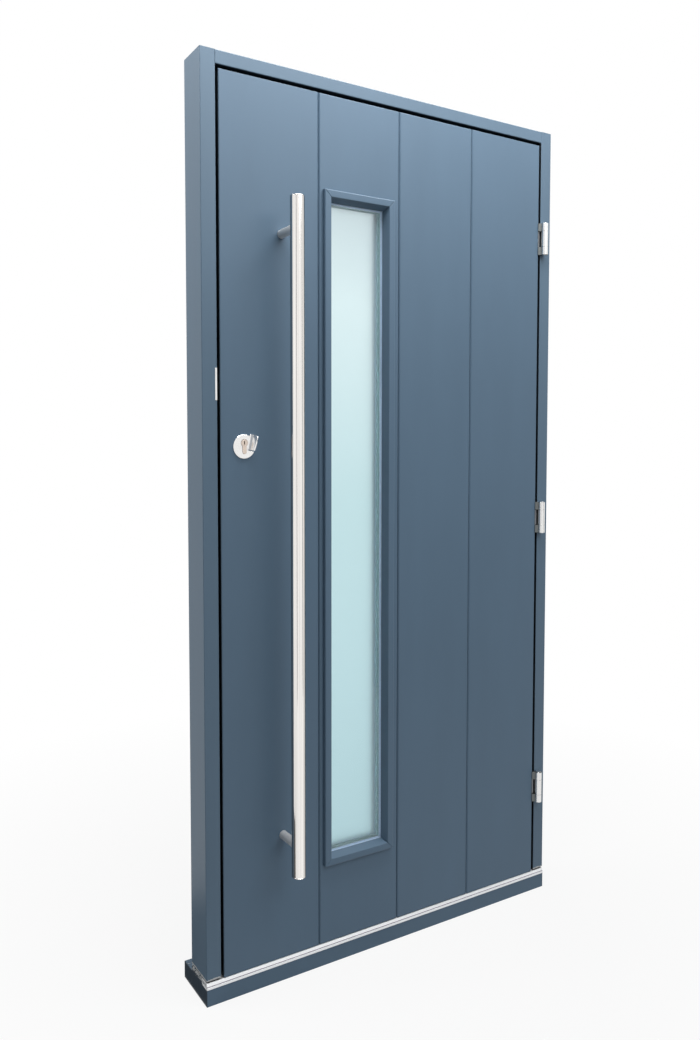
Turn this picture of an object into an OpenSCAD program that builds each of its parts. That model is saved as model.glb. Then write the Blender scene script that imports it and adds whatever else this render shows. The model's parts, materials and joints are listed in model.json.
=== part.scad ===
// Outward-opening boarded entrance door in its painted timber frame.
// X runs along the wall with 0 at the middle of the frame, Y runs indoors with 0 at the
// outside face of frame and leaf, and Z = 0 is the underside of the sill.

/* [Frame] */
// Overall width of the frame
frame_w = 1036; // [960:1:1200]
// Overall height from the sill's underside to the top of the head
frame_h = 2100; // [2040:1:2300]
// Depth of jambs and head
frame_d = 84; // [80:1:110]
// Width of a jamb's outside face
jamb_face = 36; // [34:1:60]
// Height of the head's outside face
head_face = 30; // [26:1:60]
// Gap between leaf and jamb at each side
side_gap = 7; // [6:0.5:9]
// Gap between leaf and head
head_gap = 8; // [5:0.5:10]
// Gap between leaf and threshold bar
foot_gap = 2; // [1:0.5:4]
// Reach of the stop past the jamb's face
stop_w = 20; // [17:1:26]
// Space between the leaf's back and the stop, filled by the seal
seal_gap = 6; // [5:0.5:8]
// Radius of the eased front edges of jambs and head
arris_r = 2; // [0.5:0.5:3]

/* [Sill] */
// Depth of the sill from front to back
sill_d = 130; // [110:1:180]
// How far the sill's front stands out of the frame's face
sill_proud = 1; // [0.5:0.5:4]
// Height of the sill's painted front
sill_front_h = 39; // [30:1:60]
// Height of the sill behind the stop, on the room side
sill_back_h = 39; // [30:1:50]
// Height of the sill's stop above the threshold
sill_stop_h = 18; // [15:1:25]
// Thickness of the gasket under a jamb's foot
gasket_t = 5; // [3:0.5:8]
// Setback of that gasket from the jamb's faces
gasket_inset = 3; // [1:0.5:5]

/* [Threshold bar] */
// Height of the bar
bar_h = 14; // [12:0.5:20]
// Depth of the bar from front to back
bar_d = 28; // [20:1:40]
// How far the bar stands out of the sill's face
bar_proud = 1; // [0.5:0.5:3]
// Wall of the bar's hollow section
bar_wall = 1.8; // [1.2:0.1:2.5]
// Height of the line cut along the bar's front
bar_line = 2; // [0.6:0.2:2]
// Depth of that line
bar_line_d = 1.2; // [0.4:0.1:1.2]
// Slope of the bar's nose above the line
bar_nose = 3; // [1:0.5:5]

/* [Leaf] */
// Thickness of the leaf
leaf_t = 58; // [54:1:62]
// Thickness of a face board
board_t = 16; // [14:1:17]
// Width of the first board, at the lock side
board_1_w = 252; // [230:1:280]
// Cover width of the second and third boards
board_w = 230; // [226:1:240]
// Size of the chamfer on each side of a board joint
vee = 3; // [1.5:0.5:5]
// Open joint between two boards
board_joint = 1; // [0.5:0.25:1.5]
// Thickness of a board's tongue
tongue_t = 5; // [3:0.5:6]
// Length of a board's tongue
tongue_len = 7; // [5:0.5:9]
// Width of the lock stile inside the leaf
lock_stile_w = 175; // [170:1:200]
// Width of the hinge stile inside the leaf
hinge_stile_w = 100; // [70:1:140]
// Height of the top rail inside the leaf
top_rail_h = 120; // [80:1:160]
// Height of the bottom rail inside the leaf
bottom_rail_h = 160; // [100:1:180]

/* [Glazing] */
// Outer width of the raised bead frame
bead_w = 200; // [180:1:208]
// Distance from the leaf's lock edge to the bead frame
bead_from_edge = 263; // [260:1:270]
// Distance from the leaf's foot to the bead frame
bead_from_foot = 190; // [180:1:300]
// Distance from the leaf's top to the bead frame
bead_from_top = 217; // [140:1:300]
// How far the outer beads stand out of the leaf
bead_proud = 10; // [6:1:14]
// How far the inner beads stand out of the leaf
inner_proud = 8; // [6:1:12]
// Width of a bead's front face
bead_face = 17; // [14:1:22]
// Run of a bead's slope from its face to the glass
bead_slope = 9; // [6:1:14]
// Lap of a bead over the leaf's face
bead_lap = 9; // [6:1:12]
// Depth of the glass unit's outside face behind the leaf's face
glass_in = 12; // [10:1:15]
// Thickness of each pane
pane_t = 4; // [3:0.5:6]
// Space between the panes
pane_space = 16; // [12:1:18]
// Gap from the glass to the edge of its opening
pane_edge = 3; // [2:0.5:5]
// How far the spacer shows past the beads
spacer_sight = 2.5; // [0:0.5:5]
// Thickness of the glazing tape
tape_t = 2; // [1:0.5:3]

/* [Pull handle] */
// Diameter of the pull's tube
pull_d = 32; // [25:1:40]
// How much shorter than the bead frame the pull's tube is, at each end
pull_short = 45; // [0:1:200]
// How far the pull's middle lies below the middle of the bead frame
pull_drop = 6; // [0:1:60]
// Wall of the tube
pull_wall = 1.5; // [1:0.25:3]
// Distance from an end of the tube to its post
post_from_end = 65; // [40:1:200]
// Diameter of a post
post_d = 20; // [16:1:24]
// Distance from the leaf's face to the tube's centre line
pull_out = 73; // [60:1:90]
// Distance from the leaf's lock edge to the tube's centre line
pull_from_edge = 153; // [145:1:160]

/* [Lock] */
// Height of the cylinder above the sill's underside
cyl_z = 1260; // [1000:1:1300]
// Distance from the leaf's lock edge to the cylinder
backset = 57; // [55:1:65]
// Height of the roller latch above the cylinder
roller_up = 128; // [120:1:150]
// Height of the dead bolt above the cylinder
bolt_up = 38; // [36:1:50]
// Travel of the dead bolt
bolt_throw = 20; // [16:1:22]
// Height of the dead bolt
bolt_h = 32; // [24:1:36]
// Thickness of the dead bolt
bolt_t = 12; // [10:1:14]
// Diameter of the roller
roller_d = 14; // [12:1:15]
// Height of the roller
roller_h = 14; // [10:1:18]
// How far the roller stands out of the leaf's edge
roller_out = 5.5; // [4:0.5:5.5]
// Diameter of the cylinder pull and of the inner rose
rose_d = 54; // [48:1:60]
// Thickness of the cylinder pull and of the inner rose
rose_t = 3; // [2:0.5:4]
// Length of the cylinder pull's finger lip past its bend
lip_len = 11; // [8:1:20]

/* [Keeps] */
// Height of the latch keep and of its front lip
keep_h = 70; // [60:1:100]
// Thickness of a keep plate
keep_t = 2; // [1.5:0.25:3]
// Width of the lip over the jamb's front
keep_lip_w = 5; // [3:0.5:8]
// How far the lip stands out of the jamb's front
keep_lip_proud = 0.8; // [0.4:0.1:1.5]

/* [Hinges] */
// Height of a hinge
hinge_h = 84; // [75:1:110]
// Distance from the leaf's top to the middle of the top hinge
hinge_from_top = 250; // [150:1:300]
// Distance from the leaf's foot to the middle of the bottom hinge
hinge_from_foot = 243; // [150:1:300]
// Thickness of a hinge plate
plate_t = 2.5; // [2:0.25:3]
// Depth of a hinge plate in the gap
plate_d = 32; // [26:1:38]
// Radius of a hinge knuckle
knuckle_r = 9; // [7:0.5:9.5]
// Radius of a hinge pin
pin_r = 4; // [3:0.25:5]
// Distance of the pin in front of the frame's face
pin_out = 10; // [10:0.5:14]
// Distance of the pin past the jamb's inner edge
pin_past = 6; // [6:0.5:11]

/* [Hidden] */
$fn = 48;
overrun = 1;
arc_steps = 6;

// Frame places
half_w = frame_w / 2;
jamb_in = half_w - jamb_face;
stop_in = jamb_in - stop_w;
stop_joint = 0.2;
head_under = frame_h - head_face;
threshold_top = sill_front_h + bar_h;
jamb_foot = threshold_top + gasket_t;
stop_y = leaf_t + seal_gap;
sill_back = sill_d - sill_proud;
bar_front = -sill_proud - bar_proud;
bar_back = bar_front + bar_d;

// Leaf places
leaf_half = jamb_in - side_gap;
leaf_bot = threshold_top + foot_gap;
leaf_top = head_under - head_gap;
leaf_h = leaf_top - leaf_bot;
core_back = leaf_t - board_t;
mid_y = leaf_t / 2;
joint_1 = -leaf_half + board_1_w;
joint_xs = [joint_1, joint_1 + board_w, joint_1 + 2 * board_w];
leaf_arris = 1.5;
tongue_clear = 0.25;
tongue_in = (board_t - tongue_t) / 2;

// Seal: a hollow bulb on a foot that is pushed into a groove
seal_in = 6;
seal_clear = 0.3;
seal_wall = 1;
groove_w = 3;
groove_d = 5;
bulb_d = seal_gap - seal_clear;

// Glazing places
bead_total = bead_face + bead_slope;
bead_h = leaf_h - bead_from_foot - bead_from_top;
bead_x = -leaf_half + bead_from_edge + bead_w / 2;
bead_z = leaf_bot + bead_from_foot + bead_h / 2;
bead_r = 3;
mitre_gap = 0.2;
unit_t = 2 * pane_t + pane_space;
unit_back = glass_in + unit_t;
hole_w = bead_w - 2 * bead_lap;
hole_h = bead_h - 2 * bead_lap;
pane_w = hole_w - 2 * pane_edge;
pane_h = hole_h - 2 * pane_edge;
sight_w = bead_w - 2 * bead_total;
sight_h = bead_h - 2 * bead_total;
tape_w = 8;
block_len = 40;
block_place_share = 0.5;

// Pull places
pull_x = -leaf_half + pull_from_edge;
pull_r = pull_d / 2;
pull_len = bead_h - 2 * pull_short;
pull_mid_z = bead_z - pull_drop;
post_pitch = pull_len - 2 * post_from_end;
post_r = post_d / 2;
post_zs = [pull_mid_z - post_pitch / 2, pull_mid_z + post_pitch / 2];
cap_plate_t = 2.5;
cap_spigot = 12;
cap_edge = 1;
stud_r = 4;
stud_hole_r = 4.5;
stud_fit = 0.1;
stud_grip = 32;
stud_head_r = 8;
stud_head_t = 5;
cover_r = 15;
cover_t = 9;
cover_wall = 1.5;

// Lock places
edge_x = -leaf_half;
cyl_x = edge_x + backset;
roller_z = cyl_z + roller_up;
bolt_z = cyl_z + bolt_up;
forend_t = 3;
forend_w = 20;
forend_over = 50;
forend_under = 60;
forend_top = roller_z + forend_over;
forend_bot = cyl_z - forend_under;
forend_screw_in = 8;
forend_clear = 0.2;
case_t = 18;
case_past = 28;
case_d = backset + case_past;
case_inset = 16;
case_clear = 0.5;
slide_clear = 0.3;
bolt_len = 50;
bolt_set = 0.3;
bolt_edge = 1.5;
bolt_end_clear = 5;
bolt_pocket = bolt_throw - side_gap + bolt_end_clear;
roller_r = roller_d / 2;
roller_x = edge_x - roller_out + roller_r;
roller_pin_r = 2.5;
roller_run = 0.05;
roller_travel = 5;
arm_t = 4;
arm_r = 4.5;
carrier_t = 11;
carrier_len = 28;
carrier_half_h = roller_h / 2 + slide_clear + arm_t;
roller_pocket = 8;
pocket_clear = 2.5;

// Cylinder with its key plug, thumbturn and cam
cyl_r = 8.5;
tail_w = 10;
tail_drop = 24.5;
cyl_fit = 0.3;
plug_r = 6.5;
plug_run = 0.05;
cam_t = 5;
cam_gap = 6;
cam_r = 7.4;
cam_nose = 14;
cam_nose_w = 6;
cam_swing = 16.5;
key_slot_w = 2.2;
key_slot_h = 8;
key_slot_d = 20;
turn_gap = 0.4;
turn_base_r = 11;
turn_base_t = 4;
turn_wing_l = 34;
turn_wing_t = 9;
turn_wing_d = 18;
rose_drop = (tail_drop - cyl_r) / 2;
rose_edge = 1;
rose_rim = 2;
rose_dish = 1;
lip_chord = 9;
lip_root = 1;
lip_relief = 1.5;
lip_low = 5;
lip_high = 30;
lip_bend_r = 7;
lip_bend_deg = 66;
lip_turn_deg = 12;
lip_corner_r = 8;
lip_low_share = 0.8;

// Keep places
keep_past = 17;
keep_d = mid_y + keep_past;
keep_lip_t = 2;
keep_r = 1.2;
bolt_keep_over = 18;
bolt_keep_h = bolt_h + 2 * bolt_keep_over;
bolt_keep_w = 24;
keep_screw_in = 8;

// Hinge places
pin_x = jamb_in + pin_past;
pin_y = -pin_out;
hinge_top_z = leaf_top - hinge_from_top;
hinge_bot_z = leaf_bot + hinge_from_foot;
hinge_zs = [hinge_top_z, (hinge_top_z + hinge_bot_z) / 2, hinge_bot_z];
knuckle_gap = 0.4;
pin_run = 0.05;
pin_head_r = 6;
pin_head_t = 1.2;
neck_rise = 2;
knuckle_share = 0.25;
end_knuckle = hinge_h * knuckle_share - knuckle_gap / 2;
mid_knuckle = hinge_h * (1 - 2 * knuckle_share) - knuckle_gap;
hinge_screw_z_shares = [-0.36, -0.13, 0.13, 0.36];
hinge_screw_y_shares = [0.42, 0.74];

// Screws and dowels
screw_r = 2;
screw_head_r = 4;
screw_len = 30;
keep_screw_len = 24;
screw_tip = 5;
screw_clear = 0.1;
long_screw_r = 3;
long_screw_head_r = 6;
long_screw_grip = 45;
sill_screw_y_shares = [0.45, 0.7];
dowel_r = 5;
dowel_len = 40;
dowel_clear = 0.05;
dowel_y_shares = [0.25, 0.6];

paint = [0.27, 0.33, 0.40];
paint_dark = [0.24, 0.29, 0.35];
steel = [0.78, 0.77, 0.75];
alloy = [0.86, 0.87, 0.88];
rubber = [0.05, 0.05, 0.06];
timber = [0.72, 0.58, 0.42];
glass = [0.75, 0.88, 0.90, 0.5];
frosted = [0.80, 0.90, 0.91];

// Points along an arc, as corners of an outline
function arc(c, r, a0, a1) = [for (i = [0:arc_steps])
    c + r * [cos(a0 + (a1 - a0) * i / arc_steps), sin(a0 + (a1 - a0) * i / arc_steps)]];

// Box between two corners
module block(lo, hi) {
    translate(lo) cube(hi - lo);
}

// Outline in Y and Z, drawn out along X from x0
module along_x(x0, len) {
    translate([x0, 0, 0]) rotate([90, 0, 90]) linear_extrude(len) children();
}

// Outline in X and Z, drawn out along Y from y0
module along_y(y0, len) {
    translate([0, y0 + len, 0]) rotate([90, 0, 0]) linear_extrude(len) children();
}

// Outline in X and Y, drawn out along Z from z0
module along_z(z0, len) {
    translate([0, 0, z0]) linear_extrude(len) children();
}

// Round bar along Y from y0
module rod_y(x, z, r, y0, len) {
    translate([x, y0 + len, z]) rotate([90, 0, 0]) cylinder(r = r, h = len);
}

// Countersunk screw with its head at the origin and its point towards -Z
module screw(r, head_r, len, grow = 0) {
    rotate_extrude() polygon([[0, grow], [head_r + grow, grow], [head_r + grow, 0],
        [r + grow, r - head_r], [r + grow, screw_tip - len], [0, -len - grow]]);
}

// Section of a jamb or of the head: u runs from the outer side inwards, y from front to back
module post_section(face) {
    polygon(concat(
        arc([arris_r, arris_r], arris_r, 180, 270),
        arc([face - arris_r, arris_r], arris_r, 270, 360),
        [[face, frame_d], [0, frame_d]]));
}

// Jamb at the left
module plain_jamb() {
    difference() {
        translate([-half_w, 0, 0]) along_z(jamb_foot, frame_h - jamb_foot) post_section(jamb_face);
        dowels(dowel_clear);
        long_screws(screw_clear);
    }
}

module lock_jamb() {
    color(paint) difference() {
        plain_jamb();
        along_z(roller_z - keep_h / 2, keep_h) latch_keep_section();
        keep_mouth(roller_z, roller_r + pocket_clear, carrier_half_h + pocket_clear, roller_pocket);
        bolt_keep_plate();
        keep_mouth(bolt_z, bolt_t / 2 + pocket_clear, bolt_h / 2 + pocket_clear, bolt_pocket);
        keep_screw_set(screw_clear);
    }
}

module hinge_jamb() {
    color(paint) difference() {
        mirror([1, 0, 0]) plain_jamb();
        for (z = hinge_zs) block([jamb_in - overrun, -overrun, z - hinge_h / 2],
            [jamb_in + plate_t, plate_d, z + hinge_h / 2]);
        frame_hinge_screw_set(screw_clear);
    }
}

module frame_head() {
    color(paint) difference() {
        translate([-jamb_in, 0, frame_h]) rotate([0, 90, 0])
            linear_extrude(2 * jamb_in) post_section(head_face);
        dowels(dowel_clear);
    }
}

// Planted stop: w runs from the jamb, head or sill it sits on, with a groove for its seal
module stop_section(w, gap) {
    seal_w = gap + seal_in;
    polygon([[0, stop_y], [seal_w - groove_w / 2, stop_y], [seal_w - groove_w / 2, stop_y + groove_d],
        [seal_w + groove_w / 2, stop_y + groove_d], [seal_w + groove_w / 2, stop_y],
        [w, stop_y], [w, frame_d], [0, frame_d]]);
}

module stop_strips() {
    cross_half = stop_in - stop_joint;
    color(paint) {
        for (side = [0, 1]) mirror([side, 0, 0]) translate([-jamb_in, 0, 0])
            along_z(threshold_top, head_under - threshold_top) stop_section(stop_w, side_gap);
        translate([-cross_half, 0, head_under]) rotate([0, 90, 0]) linear_extrude(2 * cross_half)
            stop_section(stop_w, head_gap);
        translate([cross_half, 0, threshold_top]) rotate([0, -90, 0]) linear_extrude(2 * cross_half)
            stop_section(sill_stop_h, foot_gap);
    }
}

module sill() {
    color(paint_dark) difference() {
        along_x(-half_w, frame_w) polygon([[-sill_proud, 0], [sill_back, 0], [sill_back, sill_back_h],
            [frame_d, sill_back_h], [frame_d, threshold_top], [bar_back, threshold_top],
            [bar_back, sill_front_h], [-sill_proud, sill_front_h]]);
        long_screws(screw_clear);
    }
}

// Hollow weather bar: upright lower face, a cut line, and a sloping nose
module threshold_bar() {
    line_z = bar_h / 2;
    color(alloy) translate([0, bar_front, sill_front_h]) difference() {
        along_x(-half_w, frame_w) polygon([[0, 0], [bar_d, 0], [bar_d, bar_h], [bar_nose, bar_h],
            [0, line_z + bar_line / 2], [bar_line_d, line_z + bar_line / 2],
            [bar_line_d, line_z - bar_line / 2], [0, line_z - bar_line / 2]]);
        block([-half_w - overrun, bar_line_d + bar_wall, bar_wall],
            [half_w + overrun, bar_d - bar_wall, bar_h - bar_wall]);
    }
}

module foot_gaskets() {
    color(rubber) difference() {
        for (side = [-1, 1])
            translate([side * (half_w - jamb_face / 2), frame_d / 2, threshold_top + gasket_t / 2])
                cube([jamb_face - 2 * gasket_inset, frame_d - 2 * gasket_inset, gasket_t], center = true);
        long_screws(screw_clear);
    }
}

// Seal section: its foot points to +Y and its bulb faces the leaf
module seal_section() {
    difference() {
        union() {
            translate([0, -bulb_d / 2]) circle(bulb_d / 2);
            translate([-groove_w / 2, -bulb_d / 2]) square([groove_w, bulb_d / 2 + groove_d]);
        }
        translate([0, -bulb_d / 2]) circle(bulb_d / 2 - seal_wall);
    }
}

module side_seal(side) {
    color(rubber) translate([side * (leaf_half - seal_in), stop_y, 0])
        along_z(threshold_top, head_under - threshold_top) seal_section();
}

module lock_side_seal() {
    side_seal(-1);
}

module hinge_side_seal() {
    side_seal(1);
}

module head_seal() {
    color(rubber) translate([-stop_in, stop_y, leaf_top - seal_in]) rotate([0, 90, 0])
        linear_extrude(2 * stop_in) seal_section();
}

module sill_seal() {
    color(rubber) translate([-stop_in, stop_y, leaf_bot + seal_in]) rotate([0, 90, 0])
        linear_extrude(2 * stop_in) seal_section();
}

// Latch keep: a plate on the jamb's rebate with a lip round the front edge
module latch_keep_section() {
    front = -keep_lip_proud;
    translate([-jamb_in, 0]) polygon(concat(
        [[0, keep_d], [-keep_t, keep_d], [-keep_t, front + keep_lip_t], [-keep_lip_w, front + keep_lip_t],
         [-keep_lip_w, front]],
        arc([-keep_r, front + keep_r], keep_r, 270, 360)));
}

// Mouth cut through a keep and into the jamb behind it
module keep_mouth(z, half_y, half_z, depth) {
    block([-jamb_in - depth, mid_y - half_y, z - half_z], [-jamb_in + overrun, mid_y + half_y, z + half_z]);
}

module latch_keep() {
    color(steel) difference() {
        along_z(roller_z - keep_h / 2, keep_h) latch_keep_section();
        keep_mouth(roller_z, roller_r + pocket_clear, carrier_half_h + pocket_clear, roller_pocket);
        keep_screw_set(screw_clear);
    }
}

module bolt_keep_plate() {
    block([-jamb_in - keep_t, mid_y - bolt_keep_w / 2, bolt_z - bolt_keep_h / 2],
        [-jamb_in, mid_y + bolt_keep_w / 2, bolt_z + bolt_keep_h / 2]);
}

module bolt_keep() {
    color(steel) difference() {
        bolt_keep_plate();
        keep_mouth(bolt_z, bolt_t / 2 + pocket_clear, bolt_h / 2 + pocket_clear, bolt_pocket);
        keep_screw_set(screw_clear);
    }
}

module keep_screw_set(grow = 0) {
    for (place = [[roller_z, keep_h], [bolt_z, bolt_keep_h]], end = [-1, 1])
        translate([-jamb_in, mid_y, place[0] + end * (place[1] / 2 - keep_screw_in)]) rotate([0, 90, 0])
            screw(screw_r, screw_head_r, keep_screw_len, grow);
}

module keep_screws() {
    color(steel) keep_screw_set();
}

// Dowels that join each end of the head to its jamb
module dowels(grow = 0) {
    for (side = [-1, 1], share = dowel_y_shares)
        translate([side * jamb_in - dowel_len / 2 - grow, frame_d * share, frame_h - head_face / 2])
            rotate([0, 90, 0]) cylinder(r = dowel_r + grow, h = dowel_len + 2 * grow);
}

module corner_dowels() {
    color(timber) dowels();
}

// Long screws up through the sill into the feet of the jambs
module long_screws(grow = 0) {
    for (side = [-1, 1], share = sill_screw_y_shares)
        translate([side * (half_w - jamb_face / 2), frame_d * share, 0]) rotate([180, 0, 0])
            screw(long_screw_r, long_screw_head_r, jamb_foot + long_screw_grip, grow);
}

module sill_screws() {
    color(steel) long_screws();
}

module frame_hinge(z) {
    color(steel) difference() {
        union() {
            block([jamb_in, 0, z - hinge_h / 2], [jamb_in + plate_t, plate_d, z + hinge_h / 2]);
            block([jamb_in, pin_y, z - mid_knuckle / 2], [jamb_in + plate_t, 0, z + mid_knuckle / 2]);
            translate([pin_x, pin_y, z - mid_knuckle / 2]) cylinder(r = knuckle_r, h = mid_knuckle);
        }
        translate([pin_x, pin_y, z - hinge_h / 2]) cylinder(r = pin_r + pin_run, h = hinge_h);
        frame_hinge_screw_set(screw_clear);
    }
}

module frame_hinge_top() {
    frame_hinge(hinge_zs[0]);
}

module frame_hinge_middle() {
    frame_hinge(hinge_zs[1]);
}

module frame_hinge_bottom() {
    frame_hinge(hinge_zs[2]);
}

// Pins with a flat button at each end
module hinge_pins() {
    color(steel) for (z = hinge_zs) translate([pin_x, pin_y, z - hinge_h / 2]) {
        cylinder(r = pin_r, h = hinge_h);
        translate([0, 0, hinge_h]) cylinder(r = pin_head_r, h = pin_head_t);
        translate([0, 0, -pin_head_t]) cylinder(r = pin_head_r, h = pin_head_t);
    }
}

// Places of one hinge's screws: four, in two staggered rows
function hinge_screw_places(z) = [for (i = [0:3])
    [plate_d * hinge_screw_y_shares[i % 2], z + hinge_h * hinge_screw_z_shares[i]]];

module frame_hinge_screw_set(grow = 0) {
    for (z = hinge_zs, place = hinge_screw_places(z))
        translate([jamb_in, place[0], place[1]]) rotate([0, -90, 0])
            screw(screw_r, screw_head_r, screw_len, grow);
}

module frame_hinge_screws() {
    color(steel) frame_hinge_screw_set();
}

// Section of a face board; tongued and grooved boards have chamfered joints
module board_section(x0, x1, groove, tongue) {
    left = groove ? vee : leaf_arris;
    right = tongue ? vee : leaf_arris;
    tip = x1 + tongue_len;
    root = x0 + tongue_len - board_joint + tongue_clear;
    polygon(concat(
        [[x0, left], [x0 + left, 0], [x1 - right, 0], [x1, right]],
        tongue ? [[x1, tongue_in], [tip, tongue_in],
                  [tip, tongue_in + tongue_t], [x1, tongue_in + tongue_t]] : [],
        [[x1, board_t], [x0, board_t]],
        groove ? [[x0, tongue_in + tongue_t + tongue_clear], [root, tongue_in + tongue_t + tongue_clear],
            [root, tongue_in - tongue_clear], [x0, tongue_in - tongue_clear]] : []));
}

// Board by its number from the lock side
module board(i) {
    x0 = i == 0 ? -leaf_half : joint_xs[i - 1] + board_joint / 2;
    x1 = i == 3 ? leaf_half : joint_xs[i] - board_joint / 2;
    along_z(leaf_bot, leaf_h) board_section(x0, x1, i > 0, i < 3);
}

// Opening for the glass through boards and core
module glass_hole() {
    translate([bead_x, mid_y, bead_z]) cube([hole_w, leaf_t + 2 * overrun, hole_h], center = true);
}

// Outline of the lock cylinder
module cylinder_section(grow = 0) {
    union() {
        circle(cyl_r + grow);
        translate([-tail_w / 2 - grow, tail_w / 2 - tail_drop])
            square([tail_w + 2 * grow, tail_drop - tail_w / 2]);
        translate([0, tail_w / 2 - tail_drop]) circle(tail_w / 2 + grow);
    }
}

// Hole for the lock cylinder through the leaf
module cylinder_hole() {
    translate([cyl_x, 0, cyl_z]) along_y(-overrun, leaf_t + 2 * overrun) cylinder_section(cyl_fit);
}

module stud_holes() {
    for (z = post_zs) rod_y(pull_x, z, stud_hole_r, -overrun, leaf_t + 2 * overrun);
}

module door_hinge_recesses() {
    for (z = hinge_zs) block([leaf_half - plate_t, -overrun, z - hinge_h / 2],
        [leaf_half + overrun, plate_d, z + hinge_h / 2]);
}

module outer_board_1() {
    color(paint) difference() {
        board(0);
        cylinder_hole();
        stud_holes();
    }
}

module outer_board_2() {
    color(paint) difference() {
        board(1);
        glass_hole();
    }
}

module outer_board_3() {
    color(paint) board(2);
}

module outer_board_4() {
    color(paint) difference() {
        board(3);
        door_hinge_recesses();
        door_hinge_screw_set(screw_clear);
    }
}

module lock_stile() {
    color(timber) difference() {
        block([edge_x, board_t, leaf_bot], [edge_x + lock_stile_w, core_back, leaf_top]);
        forend_plate(forend_clear);
        block([edge_x, mid_y - case_t / 2 - case_clear, forend_bot + case_inset - case_clear],
            [edge_x + forend_t + case_d + case_clear, mid_y + case_t / 2 + case_clear,
             forend_top - case_inset + case_clear]);
        cylinder_hole();
        stud_holes();
        forend_screw_set(screw_clear);
    }
}

module hinge_stile() {
    color(timber) difference() {
        block([leaf_half - hinge_stile_w, board_t, leaf_bot], [leaf_half, core_back, leaf_top]);
        door_hinge_recesses();
        door_hinge_screw_set(screw_clear);
    }
}

module top_rail() {
    color(timber) block([edge_x + lock_stile_w, board_t, leaf_top - top_rail_h],
        [leaf_half - hinge_stile_w, core_back, leaf_top]);
}

module bottom_rail() {
    color(timber) block([edge_x + lock_stile_w, board_t, leaf_bot],
        [leaf_half - hinge_stile_w, core_back, leaf_bot + bottom_rail_h]);
}

module core_panel() {
    color(timber) difference() {
        block([edge_x + lock_stile_w, board_t, leaf_bot + bottom_rail_h],
            [leaf_half - hinge_stile_w, core_back, leaf_top - top_rail_h]);
        glass_hole();
    }
}

module inner_boards() {
    color(paint) difference() {
        for (i = [0:3]) translate([0, leaf_t, 0]) mirror([0, 1, 0]) board(i);
        glass_hole();
        cylinder_hole();
        stud_holes();
    }
}

// Section of a bead: w runs from its outer edge to the glass, y from the leaf's face inwards
module bead_section(proud, plug) {
    polygon(concat(
        [[0, 0]],
        arc([bead_r, bead_r - proud], bead_r, 180, 270),
        [[bead_face, -proud], [bead_total, plug], [bead_lap, plug], [bead_lap, 0]]));
}

// One mitred bead, lying along X, with its inside towards +Z
module bead(len, off, proud, plug) {
    half = (len - mitre_gap) / 2;
    intersection() {
        translate([-len / 2, 0, -off]) rotate([0, 90, 0]) mirror([1, 0, 0]) linear_extrude(len)
            bead_section(proud, plug);
        along_y(-proud - overrun, proud + plug + 2 * overrun) polygon([[-half, -off], [half, -off],
            [half - bead_total, bead_total - off], [bead_total - half, bead_total - off]]);
    }
}

module bead_frame(proud, plug) {
    for (turn = [0, 180]) rotate([0, turn, 0]) bead(bead_w, bead_h / 2, proud, plug);
    for (turn = [-90, 90]) rotate([0, turn, 0]) bead(bead_h, bead_w / 2, proud, plug);
}

module outer_beads() {
    color(paint) translate([bead_x, 0, bead_z]) bead_frame(bead_proud, glass_in - tape_t);
}

module inner_beads() {
    color(paint) translate([bead_x, leaf_t, bead_z]) mirror([0, 1, 0])
        bead_frame(inner_proud, leaf_t - unit_back - tape_t);
}

// Flat rectangle round the middle of the glass
module glass_ring(y0, t, out_w, out_h, in_w, in_h) {
    translate([bead_x, y0 + t / 2, bead_z]) difference() {
        cube([out_w, t, out_h], center = true);
        cube([in_w, t + 2 * overrun, in_h], center = true);
    }
}

module outer_pane() {
    color(glass) translate([bead_x, glass_in + pane_t / 2, bead_z])
        cube([pane_w, pane_t, pane_h], center = true);
}

module inner_pane() {
    color(frosted) translate([bead_x, unit_back - pane_t / 2, bead_z])
        cube([pane_w, pane_t, pane_h], center = true);
}

module pane_spacer() {
    color(alloy) glass_ring(glass_in + pane_t, pane_space, pane_w, pane_h,
        sight_w - 2 * spacer_sight, sight_h - 2 * spacer_sight);
}

module glazing_tapes() {
    color(rubber) for (y0 = [glass_in - tape_t, unit_back])
        glass_ring(y0, tape_t, sight_w + 2 * tape_w, sight_h + 2 * tape_w, sight_w, sight_h);
}

module setting_blocks() {
    color(rubber) for (side = [-1, 1])
        translate([bead_x + side * hole_w / 2 * block_place_share, glass_in + unit_t / 2,
            bead_z - hole_h / 2 + pane_edge / 2])
            cube([block_len, unit_t, pane_edge], center = true);
}

// Neck of a door hinge leaf: out of the gap and slantwise to the pin
module hinge_neck() {
    near = leaf_half - plate_t;
    polygon([[near, 0], [near, -neck_rise], [pin_x, pin_y - plate_t / 2], [pin_x, pin_y + plate_t / 2],
        [leaf_half, plate_t / 2 - neck_rise], [leaf_half, 0]]);
}

module door_hinge(z) {
    color(steel) difference() {
        union() {
            block([leaf_half - plate_t, 0, z - hinge_h / 2], [leaf_half, plate_d, z + hinge_h / 2]);
            for (z0 = [z - hinge_h / 2, z + hinge_h / 2 - end_knuckle]) {
                along_z(z0, end_knuckle) hinge_neck();
                translate([pin_x, pin_y, z0]) cylinder(r = knuckle_r, h = end_knuckle);
            }
        }
        translate([pin_x, pin_y, z - hinge_h / 2 - overrun])
            cylinder(r = pin_r + pin_run, h = hinge_h + 2 * overrun);
        door_hinge_screw_set(screw_clear);
    }
}

module door_hinge_top() {
    door_hinge(hinge_zs[0]);
}

module door_hinge_middle() {
    door_hinge(hinge_zs[1]);
}

module door_hinge_bottom() {
    door_hinge(hinge_zs[2]);
}

module door_hinge_screw_set(grow = 0) {
    for (z = hinge_zs, place = hinge_screw_places(z))
        translate([leaf_half, place[0], place[1]]) rotate([0, 90, 0])
            screw(screw_r, screw_head_r, screw_len, grow);
}

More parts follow.
